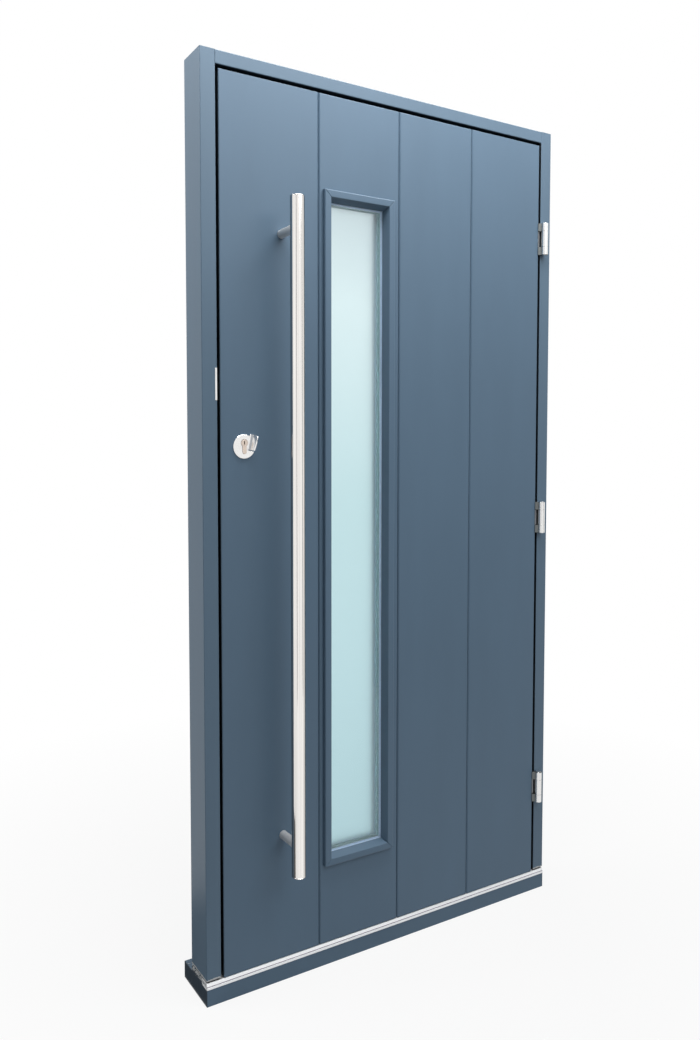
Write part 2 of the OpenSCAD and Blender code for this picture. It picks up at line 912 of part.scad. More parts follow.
module door_hinge_screws() {
    color(steel) door_hinge_screw_set();
}

module pull_tube() {
    color(steel) translate([pull_x, -pull_out, pull_mid_z - pull_len / 2]) difference() {
        cylinder(r = pull_r, h = pull_len);
        translate([0, 0, -overrun]) cylinder(r = pull_r - pull_wall, h = pull_len + 2 * overrun);
    }
}

// Flat caps with an eased edge and a spigot inside the tube
module pull_end_caps() {
    color(steel) for (end = [-1, 1])
        translate([pull_x, -pull_out, pull_mid_z + end * pull_len / 2]) mirror([0, 0, end < 0 ? 1 : 0])
            rotate_extrude() polygon([[0, -cap_spigot], [pull_r - pull_wall - stud_fit, -cap_spigot],
                [pull_r - pull_wall - stud_fit, 0], [pull_r, 0], [pull_r, cap_plate_t - cap_edge],
                [pull_r - cap_edge, cap_plate_t], [0, cap_plate_t]]);
}

// Post with its end scribed to the tube and a bore for its stud
module pull_post(z) {
    color(steel) difference() {
        rod_y(pull_x, z, post_r, -pull_out, pull_out);
        translate([pull_x, -pull_out, z - post_d]) cylinder(r = pull_r, h = 2 * post_d);
        rod_y(pull_x, z, stud_r + stud_fit, -stud_grip, stud_grip + overrun);
    }
}

module pull_post_top() {
    pull_post(post_zs[1]);
}

module pull_post_bottom() {
    pull_post(post_zs[0]);
}

module pull_bolts() {
    color(steel) for (z = post_zs) {
        rod_y(pull_x, z, stud_r, stud_fit - stud_grip, leaf_t + stud_grip);
        rod_y(pull_x, z, stud_head_r, leaf_t, stud_head_t);
    }
}

module pull_covers() {
    color(steel) for (z = post_zs) difference() {
        rod_y(pull_x, z, cover_r, leaf_t, cover_t);
        rod_y(pull_x, z, cover_r - cover_wall, leaf_t - overrun, cover_t - cover_wall + overrun);
    }
}

// Lock plate in the leaf's edge, with round ends
module forend_plate(grow = 0) {
    block([edge_x, mid_y - forend_w / 2 - grow, forend_bot + forend_w / 2],
        [edge_x + forend_t, mid_y + forend_w / 2 + grow, forend_top - forend_w / 2]);
    for (z = [forend_bot + forend_w / 2, forend_top - forend_w / 2])
        translate([edge_x, mid_y, z]) rotate([0, 90, 0]) cylinder(r = forend_w / 2 + grow, h = forend_t);
}

// Ways for the dead bolt and for the roller latch through plate and case
module lock_ways() {
    block([edge_x - overrun, mid_y - bolt_t / 2 - slide_clear, bolt_z - bolt_h / 2 - slide_clear],
        [edge_x + bolt_set + bolt_len + slide_clear, mid_y + bolt_t / 2 + slide_clear,
         bolt_z + bolt_h / 2 + slide_clear]);
    block([edge_x - overrun, mid_y - roller_r - slide_clear, roller_z - carrier_half_h - slide_clear],
        [roller_x + roller_r + carrier_len + roller_travel + slide_clear, mid_y + roller_r + slide_clear,
         roller_z + carrier_half_h + slide_clear]);
}

module forend_screw_set(grow = 0) {
    for (z = [forend_bot + forend_screw_in, forend_top - forend_screw_in])
        translate([edge_x, mid_y, z]) rotate([0, -90, 0]) screw(screw_r, screw_head_r, screw_len, grow);
}

module lock_forend() {
    color(steel) difference() {
        forend_plate();
        lock_ways();
        forend_screw_set(screw_clear);
    }
}

module lock_case() {
    color(steel) difference() {
        block([edge_x + forend_t, mid_y - case_t / 2, forend_bot + case_inset],
            [edge_x + forend_t + case_d, mid_y + case_t / 2, forend_top - case_inset]);
        lock_ways();
        cylinder_hole();
        rod_y(cyl_x, cyl_z, cam_swing, 0, leaf_t);
    }
}

module forend_screws() {
    color(steel) forend_screw_set();
}

// Cylinder with a bore from each face and a gap for the cam
module cylinder_body() {
    color(steel) difference() {
        translate([cyl_x, 0, cyl_z]) along_y(-rose_t, leaf_t + 2 * rose_t) cylinder_section();
        rod_y(cyl_x, cyl_z, plug_r + plug_run, -rose_t - overrun, leaf_t + 2 * rose_t + 2 * overrun);
        rod_y(cyl_x, cyl_z, cyl_r + cyl_fit, mid_y - cam_gap / 2, cam_gap);
    }
}

// Dished disc with an eased edge; its back lies on y = 0
module rose_blank() {
    rotate([90, 0, 0]) rotate_extrude() polygon([[0, 0], [rose_d / 2, 0], [rose_d / 2, rose_t - rose_edge],
        [rose_d / 2 - rose_edge, rose_t], [rose_d / 2 - rose_rim, rose_t], [0, rose_t - rose_dish]]);
}

// The cylinder's outline is central in the disc
module rose_hole() {
    translate([0, 0, rose_drop]) along_y(-rose_t - overrun, rose_t + 2 * overrun) cylinder_section(cyl_fit);
}

// Finger lip: the disc's sheet bent outwards along a chord
module finger_lip() {
    c = [lip_chord, -rose_t - lip_bend_r];
    end_deg = 90 - lip_bend_deg;
    way = lip_len * [sin(end_deg), -cos(end_deg)];
    outer_end = c + (lip_bend_r + rose_t) * [cos(end_deg), sin(end_deg)] + way;
    inner_end = c + lip_bend_r * [cos(end_deg), sin(end_deg)] + way;
    tip_y = min(outer_end[1], inner_end[1]);
    difference() {
        along_z(-lip_low, lip_low + lip_high) polygon(concat([[lip_chord - lip_root, 0]],
            arc(c, lip_bend_r + rose_t, 90, end_deg), [outer_end, inner_end],
            arc(c, lip_bend_r, end_deg, 90), [[lip_chord - lip_root, -rose_t]]));
        along_x(0, rose_d) polygon(concat(
            arc([tip_y + lip_corner_r, lip_high - lip_corner_r], lip_corner_r, 90, 180),
            [[tip_y * lip_low_share, -lip_low - overrun], [tip_y - overrun, -lip_low - overrun],
             [tip_y - overrun, lip_high + overrun], [tip_y + lip_corner_r, lip_high + overrun]]));
    }
}

module cylinder_pull() {
    color(steel) translate([cyl_x, 0, cyl_z - rose_drop]) difference() {
        rotate([0, lip_turn_deg, 0]) union() {
            difference() {
                rose_blank();
                block([lip_chord, -rose_t - overrun, -lip_low - lip_relief], [rose_d, overrun, rose_d]);
            }
            finger_lip();
        }
        rose_hole();
    }
}

module inner_rose() {
    color(steel) translate([cyl_x, leaf_t, cyl_z - rose_drop]) mirror([0, 1, 0]) difference() {
        rose_blank();
        rose_hole();
    }
}

// Knob, spindle and cam turn together
module thumbturn() {
    face_y = leaf_t + rose_t + turn_gap;
    color(steel) {
        rod_y(cyl_x, cyl_z, plug_r, mid_y - cam_t / 2, face_y - mid_y + cam_t / 2);
        rod_y(cyl_x, cyl_z, cam_r, mid_y - cam_t / 2, cam_t);
        block([cyl_x, mid_y - cam_t / 2, cyl_z - cam_nose_w / 2],
            [cyl_x + cam_nose, mid_y + cam_t / 2, cyl_z + cam_nose_w / 2]);
        rod_y(cyl_x, cyl_z, turn_base_r, face_y, turn_base_t);
        translate([cyl_x, face_y + turn_base_t, cyl_z]) along_y(0, turn_wing_d) union() {
            square([turn_wing_t, turn_wing_l - turn_wing_t], center = true);
            for (end = [-1, 1]) translate([0, end * (turn_wing_l - turn_wing_t) / 2]) circle(turn_wing_t / 2);
        }
    }
}

module dead_bolt() {
    x0 = edge_x + bolt_set;
    color(steel) along_z(bolt_z - bolt_h / 2, bolt_h) polygon([[x0, mid_y - bolt_t / 2 + bolt_edge],
        [x0 + bolt_edge, mid_y - bolt_t / 2], [x0 + bolt_len, mid_y - bolt_t / 2],
        [x0 + bolt_len, mid_y + bolt_t / 2], [x0 + bolt_edge, mid_y + bolt_t / 2],
        [x0, mid_y + bolt_t / 2 - bolt_edge]]);
}

module key_plug() {
    color(steel) difference() {
        rod_y(cyl_x, cyl_z, plug_r, -rose_t, rose_t + mid_y - cam_gap / 2);
        block([cyl_x - key_slot_w / 2, -rose_t - overrun, cyl_z - key_slot_h / 2],
            [cyl_x + key_slot_w / 2, key_slot_d - rose_t, cyl_z + key_slot_h / 2]);
    }
}

// Slide with two arms that hold the roller's pin
module roller_carrier() {
    root = roller_x + roller_r + slide_clear;
    color(steel) difference() {
        union() {
            block([root, mid_y - carrier_t / 2, roller_z - carrier_half_h],
                [root + carrier_len, mid_y + carrier_t / 2, roller_z + carrier_half_h]);
            for (z0 = [roller_z - carrier_half_h, roller_z + carrier_half_h - arm_t]) {
                block([roller_x, mid_y - arm_r, z0], [root + overrun, mid_y + arm_r, z0 + arm_t]);
                translate([roller_x, mid_y, z0]) cylinder(r = arm_r, h = arm_t);
            }
        }
        translate([roller_x, mid_y, roller_z - carrier_half_h - overrun])
            cylinder(r = roller_pin_r + roller_run, h = 2 * carrier_half_h + 2 * overrun);
    }
}

module roller_pin() {
    color(steel) translate([roller_x, mid_y, roller_z - carrier_half_h])
        cylinder(r = roller_pin_r, h = 2 * carrier_half_h);
}

module roller() {
    color(alloy) translate([roller_x, mid_y, roller_z - roller_h / 2]) difference() {
        cylinder(r = roller_r, h = roller_h);
        translate([0, 0, -overrun]) cylinder(r = roller_pin_r + roller_run, h = roller_h + 2 * overrun);
    }
}

lock_jamb();
hinge_jamb();
frame_head();
sill();
stop_strips();
threshold_bar();
foot_gaskets();
lock_side_seal();
hinge_side_seal();
head_seal();
sill_seal();
latch_keep();
bolt_keep();
keep_screws();
corner_dowels();
sill_screws();
frame_hinge_top();
frame_hinge_middle();
frame_hinge_bottom();
hinge_pins();
frame_hinge_screws();
outer_board_1();
outer_board_2();
outer_board_3();
outer_board_4();
lock_stile();
hinge_stile();
top_rail();
bottom_rail();
core_panel();
inner_boards();
outer_beads();
inner_beads();
outer_pane();
inner_pane();
pane_spacer();
glazing_tapes();
setting_blocks();
door_hinge_top();
door_hinge_middle();
door_hinge_bottom();
door_hinge_screws();
pull_tube();
pull_end_caps();
pull_post_top();
pull_post_bottom();
pull_bolts();
pull_covers();
lock_forend();
lock_case();
forend_screws();
cylinder_body();
cylinder_pull();
inner_rose();
thumbturn();
dead_bolt();
key_plug();
roller_carrier();
roller_pin();
roller();
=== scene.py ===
# %% [markdown]
# # An entrance door, dressed for its picture
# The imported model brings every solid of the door: frame, leaf, glass, lock and hinges.
# This lesson gives those solids the soft edges, the paint, the brushed steel and the
# glass of the real door, and then sets up the floor, the light and the camera.

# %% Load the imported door
import json
import math

import bmesh
import bpy
from mathutils import Matrix, Vector

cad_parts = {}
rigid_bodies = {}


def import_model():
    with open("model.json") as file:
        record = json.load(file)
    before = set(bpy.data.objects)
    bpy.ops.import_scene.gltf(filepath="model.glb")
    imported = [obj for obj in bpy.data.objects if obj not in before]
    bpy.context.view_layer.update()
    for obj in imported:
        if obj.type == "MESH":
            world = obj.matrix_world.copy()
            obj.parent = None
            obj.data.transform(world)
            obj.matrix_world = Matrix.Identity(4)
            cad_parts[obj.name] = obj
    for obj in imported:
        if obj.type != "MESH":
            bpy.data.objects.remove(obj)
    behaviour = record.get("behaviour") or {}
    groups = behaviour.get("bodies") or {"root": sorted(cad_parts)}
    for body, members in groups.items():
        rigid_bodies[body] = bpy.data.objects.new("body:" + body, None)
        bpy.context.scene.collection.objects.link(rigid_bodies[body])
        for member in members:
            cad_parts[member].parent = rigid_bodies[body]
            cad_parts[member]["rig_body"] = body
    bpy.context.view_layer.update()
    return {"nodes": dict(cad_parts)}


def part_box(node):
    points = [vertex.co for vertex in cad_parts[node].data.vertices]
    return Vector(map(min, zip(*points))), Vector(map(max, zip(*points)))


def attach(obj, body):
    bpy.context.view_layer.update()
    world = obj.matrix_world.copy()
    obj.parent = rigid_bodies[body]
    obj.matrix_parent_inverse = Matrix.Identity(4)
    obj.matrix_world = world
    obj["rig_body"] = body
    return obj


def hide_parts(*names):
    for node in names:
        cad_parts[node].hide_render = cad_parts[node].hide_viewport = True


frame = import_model()
nodes = frame["nodes"]

# %% [markdown]
# ## A place to start a finish
# Every finish below is a Principled shader with a few nodes in front of it. It could be
# clicked together in the editor, but a recipe in code is easier to read and to repeat.
# One helper makes an empty material and hands back its parts, others fill in sockets, add
# a node and draw the wires. Patterns hang on Object coordinates, which are metres here, so
# a grain keeps its size on every piece.


# %% Helpers for materials
def new_finish(name):
    material = bpy.data.materials.new(name)
    material.use_nodes = True
    tree = material.node_tree
    return material, tree, tree.nodes["Principled BSDF"]


def fill(node, values):
    for socket, value in values.items():
        node.inputs[socket].default_value = value


def add_node(tree, kind, values=None, **settings):
    made = tree.nodes.new(kind)
    for key, value in settings.items():
        setattr(made, key, value)
    fill(made, values or {})
    return made


def wire(tree, *pairs):
    for source, target in pairs:
        tree.links.new(source, target)


def object_place(tree):
    return add_node(tree, "ShaderNodeTexCoord").outputs["Object"]


print("helpers:", [h.__name__ for h in (new_finish, fill, add_node, wire, object_place)])

# %% [markdown]
# ## Effects that are shared
# Paint, chips, brushing and grain turn up in several finishes. Such an effect is built
# once, as a node group with named inputs and outputs, and each finish places it with its
# own values. The helper makes an empty group with its sockets.


# %% Helper for node groups
def new_group(name, inputs, outputs):
    group = bpy.data.node_groups.new(name, "ShaderNodeTree")
    for label, kind, value in inputs:
        socket = group.interface.new_socket(label, in_out="INPUT", socket_type="NodeSocket" + kind)
        socket.default_value = value
    for label, kind in outputs:
        group.interface.new_socket(label, in_out="OUTPUT", socket_type="NodeSocket" + kind)
    given = group.nodes.new("NodeGroupInput").outputs
    result = group.nodes.new("NodeGroupOutput").inputs
    return group, given, result


mid_grey = (0.5, 0.5, 0.5, 1.0)
print("helper:", new_group.__name__)

# %% [markdown]
# ## The paint film
# The timber is sprayed with a satin blue-grey paint. Close up, such a film has a fine
# orange peel, and over a whole board its tone drifts a little, because the film is not
# equally thick everywhere. One flat colour would make the boards look like plastic. The
# group takes a colour and gives back the drifted colour, a roughness that drifts with it,
# and a height for the bump.


# %% Group: paint film
def make_paint_film(drift_scale=9.0, drift_along_z=0.25, peel_scale=420.0, sheen_drift=0.12):
    group, given, result = new_group(
        "paint_film",
        [("Colour", "Color", mid_grey), ("Drift", "Float", 0.1), ("Roughness", "Float", 0.4)],
        [("Colour", "Color"), ("Roughness", "Float"), ("Height", "Float")])
    place = object_place(group)
    stretch = add_node(group, "ShaderNodeMapping", {"Scale": (1.0, 1.0, drift_along_z)})
    drift = add_node(group, "ShaderNodeTexNoise",
                     {"Scale": drift_scale, "Detail": 4.0, "Roughness": 0.55})
    peel = add_node(group, "ShaderNodeTexNoise",
                    {"Scale": peel_scale, "Detail": 2.0, "Roughness": 0.5})
    shift = add_node(group, "ShaderNodeMath", {1: 0.5}, operation="SUBTRACT")
    level = add_node(group, "ShaderNodeMath", {2: 1.0}, operation="MULTIPLY_ADD")
    tone = add_node(group, "ShaderNodeMix", {"Factor": 1.0}, data_type="RGBA", blend_type="MULTIPLY")
    rough = add_node(group, "ShaderNodeMath", {1: sheen_drift}, operation="MULTIPLY_ADD")
    wire(group,
         (place, stretch.inputs["Vector"]), (stretch.outputs["Vector"], drift.inputs["Vector"]),
         (place, peel.inputs["Vector"]), (drift.outputs["Fac"], shift.inputs[0]),
         (shift.outputs[0], level.inputs[0]), (given["Drift"], level.inputs[1]),
         (given["Colour"], tone.inputs["A"]), (level.outputs[0], tone.inputs["B"]),
         (shift.outputs[0], rough.inputs[0]), (given["Roughness"], rough.inputs[2]),
         (tone.outputs["Result"], result["Colour"]), (rough.outputs[0], result["Roughness"]),
         (peel.outputs["Fac"], result["Height"]))
    return group


paint_film = make_paint_film()
print("group:", paint_film.name)

# %% [markdown]
# ## Painted leaf and painted frame
# The same tin painted everything, but the frame is a touch greyer than the leaf. Each gets
# its own material from the shared film, so that either can be toned without the other. The
# edges that face each other across the gap round the leaf are painted nearly black, a
# painted shade that makes the gap read as a black line.


# %% Finish: paint
paint_drift = 0.16
paint_sheen = 0.42
paint_mirror = 0.3
peel_strength = 0.25
peel_depth = 0.0003


def painted(name, colour):
    material, tree, shader = new_finish(name)
    film = add_node(tree, "ShaderNodeGroup",
                    {"Colour": (*colour, 1.0), "Drift": paint_drift, "Roughness": paint_sheen},
                    node_tree=paint_film)
    relief = add_node(tree, "ShaderNodeBump", {"Strength": peel_strength, "Distance": peel_depth})
    wire(tree,
         (film.outputs["Colour"], shader.inputs["Base Color"]),
         (film.outputs["Roughness"], shader.inputs["Roughness"]),
         (film.outputs["Height"], relief.inputs["Height"]),
         (relief.outputs["Normal"], shader.inputs["Normal"]))
    fill(shader, {"Specular IOR Level": paint_mirror})
    return material, tree, shader, film, relief


frame_blue = (0.090, 0.142, 0.198)
leaf_paint = painted("leaf_paint", (0.087, 0.141, 0.202))[0]
frame_paint = painted("frame_paint", frame_blue)[0]
# Painted shade: a nearly black coat for the faces that look into the gap round the leaf.
gap_shade_paint = painted("gap_shade_paint", (0.010, 0.014, 0.018))[0]
print("paints:", leaf_paint.name, frame_paint.name, gap_shade_paint.name)

# %% [markdown]
# ## Chips down to the primer
# Where sill and jamb meet at their ends, the paint has been knocked off and pale primer
# shows. Chips could be modelled, but they are so thin that a mask does. It is noise that is
# cut off sharply: a reach of 1 lets much of it through and a reach of 0 none. The group
# swaps the colour there and gives a height that sinks the chips.


# %% Group: primer chips
def add_ramp(tree, stops):
    ramp = tree.nodes.new("ShaderNodeValToRGB")
    points = ramp.color_ramp.elements
    while len(points) < len(stops):
        points.new(0.5)
    for point, (position, colour) in zip(points, stops):
        point.position = position
        point.color = (*colour, 1.0)
    return ramp


def make_primer_chips(flake_scale=170.0, lift=0.34, cut_low=0.80, cut_high=0.83):
    group, given, result = new_group(
        "primer_chips",
        [("Colour", "Color", mid_grey), ("Reach", "Float", 0.0)],
        [("Colour", "Color"), ("Height", "Float")])
    flakes = add_node(group, "ShaderNodeTexNoise",
                      {"Scale": flake_scale, "Detail": 5.0, "Roughness": 0.65})
    raised = add_node(group, "ShaderNodeMath", {1: lift}, operation="MULTIPLY_ADD")
    mask = add_ramp(group, [(cut_low, (0, 0, 0)), (cut_high, (1, 1, 1))])
    coat = add_node(group, "ShaderNodeMix", data_type="RGBA")
    fill(coat, {"B": (0.46, 0.47, 0.47, 1.0)})
    depth = add_node(group, "ShaderNodeMath", {0: 1.0}, operation="SUBTRACT")
    wire(group,
         (object_place(group), flakes.inputs["Vector"]), (given["Reach"], raised.inputs[0]),
         (flakes.outputs["Fac"], raised.inputs[2]), (raised.outputs[0], mask.inputs["Fac"]),
         (mask.outputs["Color"], coat.inputs["Factor"]), (given["Colour"], coat.inputs["A"]),
         (mask.outputs["Color"], depth.inputs[1]),
         (coat.outputs["Result"], result["Colour"]), (depth.outputs[0], result["Height"]))
    return group


primer_chips = make_primer_chips()
print("group:", primer_chips.name)

# %% [markdown]
# ## Chipped paint
# A chipped finish is the paint from above with the chips laid over its colour and its
# bump. Where the chips show is still open: the helper hands back the three axes, and span
# turns a stretch of one axis into a value that rises or falls along it.


# %% Helper: chipped paint
chip_depth = 3.0


def chipped(name, colour):
    material, tree, shader, film, relief = painted(name, colour)
    chips = add_node(tree, "ShaderNodeGroup", node_tree=primer_chips)
    heights = add_node(tree, "ShaderNodeMath", {1: chip_depth}, operation="MULTIPLY_ADD")
    split = add_node(tree, "ShaderNodeSeparateXYZ")
    wire(tree,
         (object_place(tree), split.inputs["Vector"]),
         (film.outputs["Colour"], chips.inputs["Colour"]),
         (chips.outputs["Colour"], shader.inputs["Base Color"]),
         (chips.outputs["Height"], heights.inputs[0]), (film.outputs["Height"], heights.inputs[2]),
         (heights.outputs[0], relief.inputs["Height"]))
    return material, tree, film, chips, split.outputs


def span(tree, socket, low, high, at_low, at_high):
    ramp = add_node(tree, "ShaderNodeMapRange",
                    {"From Min": low, "From Max": high, "To Min": at_low, "To Max": at_high})
    wire(tree, (socket, ramp.inputs["Value"]))
    return ramp.outputs["Result"]


print("helpers:", chipped.__name__, span.__name__)

# %% [markdown]
# ## Jamb feet
# The lowest few millimetres of each jamb were dragged over the ground, and there the chips
# run together. A mask could be painted by hand, but a range of Z that starts at the imported
# jamb's foot needs no painting and follows the jamb when it is resized.


# %% Finish: jamb paint
def make_jamb_paint(chips_full=0.002, chips_end=0.007, reach=1.25):
    material, tree, _film, chips, axes = chipped("jamb_paint", frame_blue)
    foot_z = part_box("lock_jamb")[0][2]
    near_foot = span(tree, axes["Z"], foot_z + chips_full, foot_z + chips_end, reach, 0.0)
    wire(tree, (near_foot, chips.inputs["Reach"]))
    return material


jamb_paint = make_jamb_paint()
print("chipped paint:", jamb_paint.name)

# %% [markdown]
# ## Sill ends
# On the sill the chips sit on the top edge near both ends. Two ranges, one along the sill
# and one up it, are multiplied, so that chips show only where both are high. A third range
# darkens the colour at the sawn ends, which is painted shade.

# %% Finish: sill paint
sill_arris = 0.0016
end_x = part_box("sill")[1][0]
shelf_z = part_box("threshold_bar")[0][2]


def make_sill_paint(chips_start=0.05, chips_full=0.004, edge=0.008, shade_full=0.0004, shade_tone=0.3):
    material, tree, film, chips, axes = chipped("sill_paint", (0.076, 0.128, 0.186))
    out = add_node(tree, "ShaderNodeMath", operation="ABSOLUTE")
    corner = add_node(tree, "ShaderNodeMath", operation="MULTIPLY")
    end_darkening = add_node(tree, "ShaderNodeMix", {"Factor": 1.0}, data_type="RGBA", blend_type="MULTIPLY")
    wire(tree, (axes["X"], out.inputs[0]))
    near_end = span(tree, out.outputs[0], end_x - chips_start, end_x - chips_full, 0.0, 1.0)
    near_top = span(tree, axes["Z"], shelf_z - edge, shelf_z + edge, 0.0, 1.0)
    # Painted shade: the colour falls to a third of itself at the sill's ends.
    painted_end_shade = span(tree, out.outputs[0], end_x - sill_arris, end_x - shade_full, 1.0, shade_tone)
    wire(tree,
         (near_end, corner.inputs[0]), (near_top, corner.inputs[1]),
         (corner.outputs[0], chips.inputs["Reach"]),
         (film.outputs["Colour"], end_darkening.inputs["A"]), (painted_end_shade, end_darkening.inputs["B"]),
         (end_darkening.outputs["Result"], chips.inputs["Colour"]))
    return material


sill_paint = make_sill_paint()
print("chipped paint:", sill_paint.name, "sill end at", round(end_x, 3))

# %% [markdown]
# ## Brushed lines
# The long pull, the hinges and the threshold bar are metal that was drawn along a belt:
# fine scratches all run one way. Noise that is stretched hard along that way gives them.
# The pieces differ only in direction and strength, so this is a group too.


# %% Group: brushed lines
def make_brushed_lines(line_scale=1500.0):
    group, given, result = new_group(
        "brushed_lines",
        [("Colour", "Color", mid_grey), ("Stretch", "Vector", (1.0, 1.0, 0.01)),
         ("Roughness", "Float", 0.28), ("Spread", "Float", 0.2), ("Tone", "Float", 0.3)],
        [("Colour", "Color"), ("Roughness", "Float"), ("Height", "Float")])
    stretch = add_node(group, "ShaderNodeVectorMath", operation="MULTIPLY")
    lines = add_node(group, "ShaderNodeTexNoise",
                     {"Scale": line_scale, "Detail": 3.0, "Roughness": 0.6})
    shift = add_node(group, "ShaderNodeMath", {1: 0.5}, operation="SUBTRACT")
    rough = add_node(group, "ShaderNodeMath", operation="MULTIPLY_ADD")
    level = add_node(group, "ShaderNodeMath", {2: 1.0}, operation="MULTIPLY_ADD")
    tone = add_node(group, "ShaderNodeMix", {"Factor": 1.0}, data_type="RGBA", blend_type="MULTIPLY")
    wire(group,
         (object_place(group), stretch.inputs[0]), (given["Stretch"], stretch.inputs[1]),
         (stretch.outputs["Vector"], lines.inputs["Vector"]), (lines.outputs["Fac"], shift.inputs[0]),
         (shift.outputs[0], rough.inputs[0]), (given["Spread"], rough.inputs[1]),
         (given["Roughness"], rough.inputs[2]), (shift.outputs[0], level.inputs[0]),
         (given["Tone"], level.inputs[1]), (given["Colour"], tone.inputs["A"]),
         (level.outputs[0], tone.inputs["B"]), (tone.outputs["Result"], result["Colour"]),
         (rough.outputs[0], result["Roughness"]), (lines.outputs["Fac"], result["Height"]))
    return group


brushed_lines = make_brushed_lines()
print("group:", brushed_lines.name)

# %% [markdown]
# ## A brushed metal
# One recipe serves all metals: spread is how much the scratches vary the roughness, tone
# how much they vary the colour, and bump how deep they are. The stretch says along which
# axis they run: a small share of an axis makes long lines on it. Anisotropic shading would
# be another way, but it needs a tangent on every mesh, and scratches work on any shape.


# %% Helper: brushed metal
scratch_depth = 0.0001


def brushed(name, colour, stretch, roughness, spread=0.2, tone=0.3, bump=0.1, metallic=1.0):
    material, tree, shader = new_finish(name)
    lines = add_node(tree, "ShaderNodeGroup",
                     {"Colour": (*colour, 1.0), "Stretch": stretch, "Roughness": roughness,
                      "Spread": spread, "Tone": tone}, node_tree=brushed_lines)
    relief = add_node(tree, "ShaderNodeBump", {"Strength": bump, "Distance": scratch_depth})
    wire(tree,
         (lines.outputs["Colour"], shader.inputs["Base Color"]),
         (lines.outputs["Roughness"], shader.inputs["Roughness"]),
         (lines.outputs["Height"], relief.inputs["Height"]),
         (relief.outputs["Normal"], shader.inputs["Normal"]))
    fill(shader, {"Metallic": metallic})
    return material


along_x = (0.001, 0.3, 0.3)
round_y = (0.1, 1.0, 0.1)
along_z = (1.0, 1.0, 0.02)
all_ways = (0.6, 0.6, 0.6)
print("helper:", brushed.__name__)

# %% [markdown]
# ## The tube's steel
# The tube was polished along its length, so its scratches are very long and fine; their
# strong tone also paints long streaks of reflection. A polished rod turns dark at its rim,
# where it mirrors only the door behind it. Layer Weight finds that rim, and the colour is
# multiplied down there: a painted reflection.


# %% Finish: tube steel
# Painted reflection: the colour falls towards the rim, where the rod mirrors the dark door.
def painted_rim_reflection(material, start=0.30, end=0.62, share=0.4):
    tree = material.node_tree
    base = tree.nodes["Principled BSDF"].inputs["Base Color"]
    colour = base.links[0].from_socket
    facing_away = add_node(tree, "ShaderNodeLayerWeight", {"Blend": 0.5}).outputs["Facing"]
    rim_mix = add_node(tree, "ShaderNodeMix", {"Factor": 1.0}, data_type="RGBA", blend_type="MULTIPLY")
    wire(tree,
         (colour, rim_mix.inputs["A"]),
         (span(tree, facing_away, start, end, 1.0, share), rim_mix.inputs["B"]),
         (rim_mix.outputs["Result"], base))


along_tube = (0.16, 0.16, 0.0006)
# Partly painted reflection: a tone of 0.7 gives long light and dark streaks along the tube.
tube_steel = brushed("tube_steel", (0.84, 0.815, 0.785), along_tube, 0.10, spread=0.08, tone=0.7, bump=0.03)
painted_rim_reflection(tube_steel)
print("metal:", tube_steel.name)

# %% [markdown]
# ## The other metals
# Posts and lock furniture are stainless steel, hinges and screws are plated, the weather
# bar is drawn alloy and the key plug nickelled brass. The bar is anodised and the posts
# are finely blasted, and such a milky skin is only half as metallic. The hinge plates take a
# nearly black steel, and the lip's bend and the hinge flaps a rougher, darker one; both
# darknesses are painted shade.

# %% Finish: other metals
post_steel = brushed("post_steel", (0.74, 0.73, 0.72), round_y, 0.34, spread=0.16, bump=1.0, metallic=0.5)
hinge_steel = brushed("hinge_steel", (0.80, 0.80, 0.79), along_z, 0.28, spread=0.16)
# Painted shade: the hinge plates are nearly black, as if they sat in the shade of the gap.
shaded_plate_steel = brushed("shaded_plate_steel", (0.14, 0.15, 0.15), along_z, 0.50)
# Rougher steel, and its dark grey is painted shade on the lip's bend and the hinge flaps.
dull_shaded_steel = brushed("dull_shaded_steel", (0.40, 0.41, 0.43), along_z, 0.42)
zinc_steel = brushed("zinc_steel", (0.55, 0.55, 0.54), all_ways, 0.42, spread=0.25)
bright_steel = brushed("bright_steel", (0.86, 0.85, 0.84), all_ways, 0.14, spread=0.08, tone=0.2, bump=0.03)
bar_alloy = brushed("bar_alloy", (0.88, 0.89, 0.90), along_x, 0.34, spread=0.08, tone=0.2, bump=0.03,
                    metallic=0.5)
# Painted shade: a dark purple-grey for grooves, in the weather bar's line and round the cylinder.
groove_shade = brushed("groove_shade", (0.34, 0.30, 0.36), along_x, 0.60)
plug_nickel = brushed("plug_nickel", (0.68, 0.58, 0.50), all_ways, 0.26)
print("steels made:", [m.name for m in bpy.data.materials if m.name.endswith("steel")])

# %% [markdown]
# ## Turned discs
# The cylinder pull and the rose indoors were faced on a lathe, which leaves very fine
# rings round their middle. The rings tilt the surface in and out, and that gives a turned
# disc its soft wedges of light. A ring wave in the bump does the same; the Mapping node
# puts its centre on the disc. At a scale of 1 the wave repeats 20 / tau times in a metre.


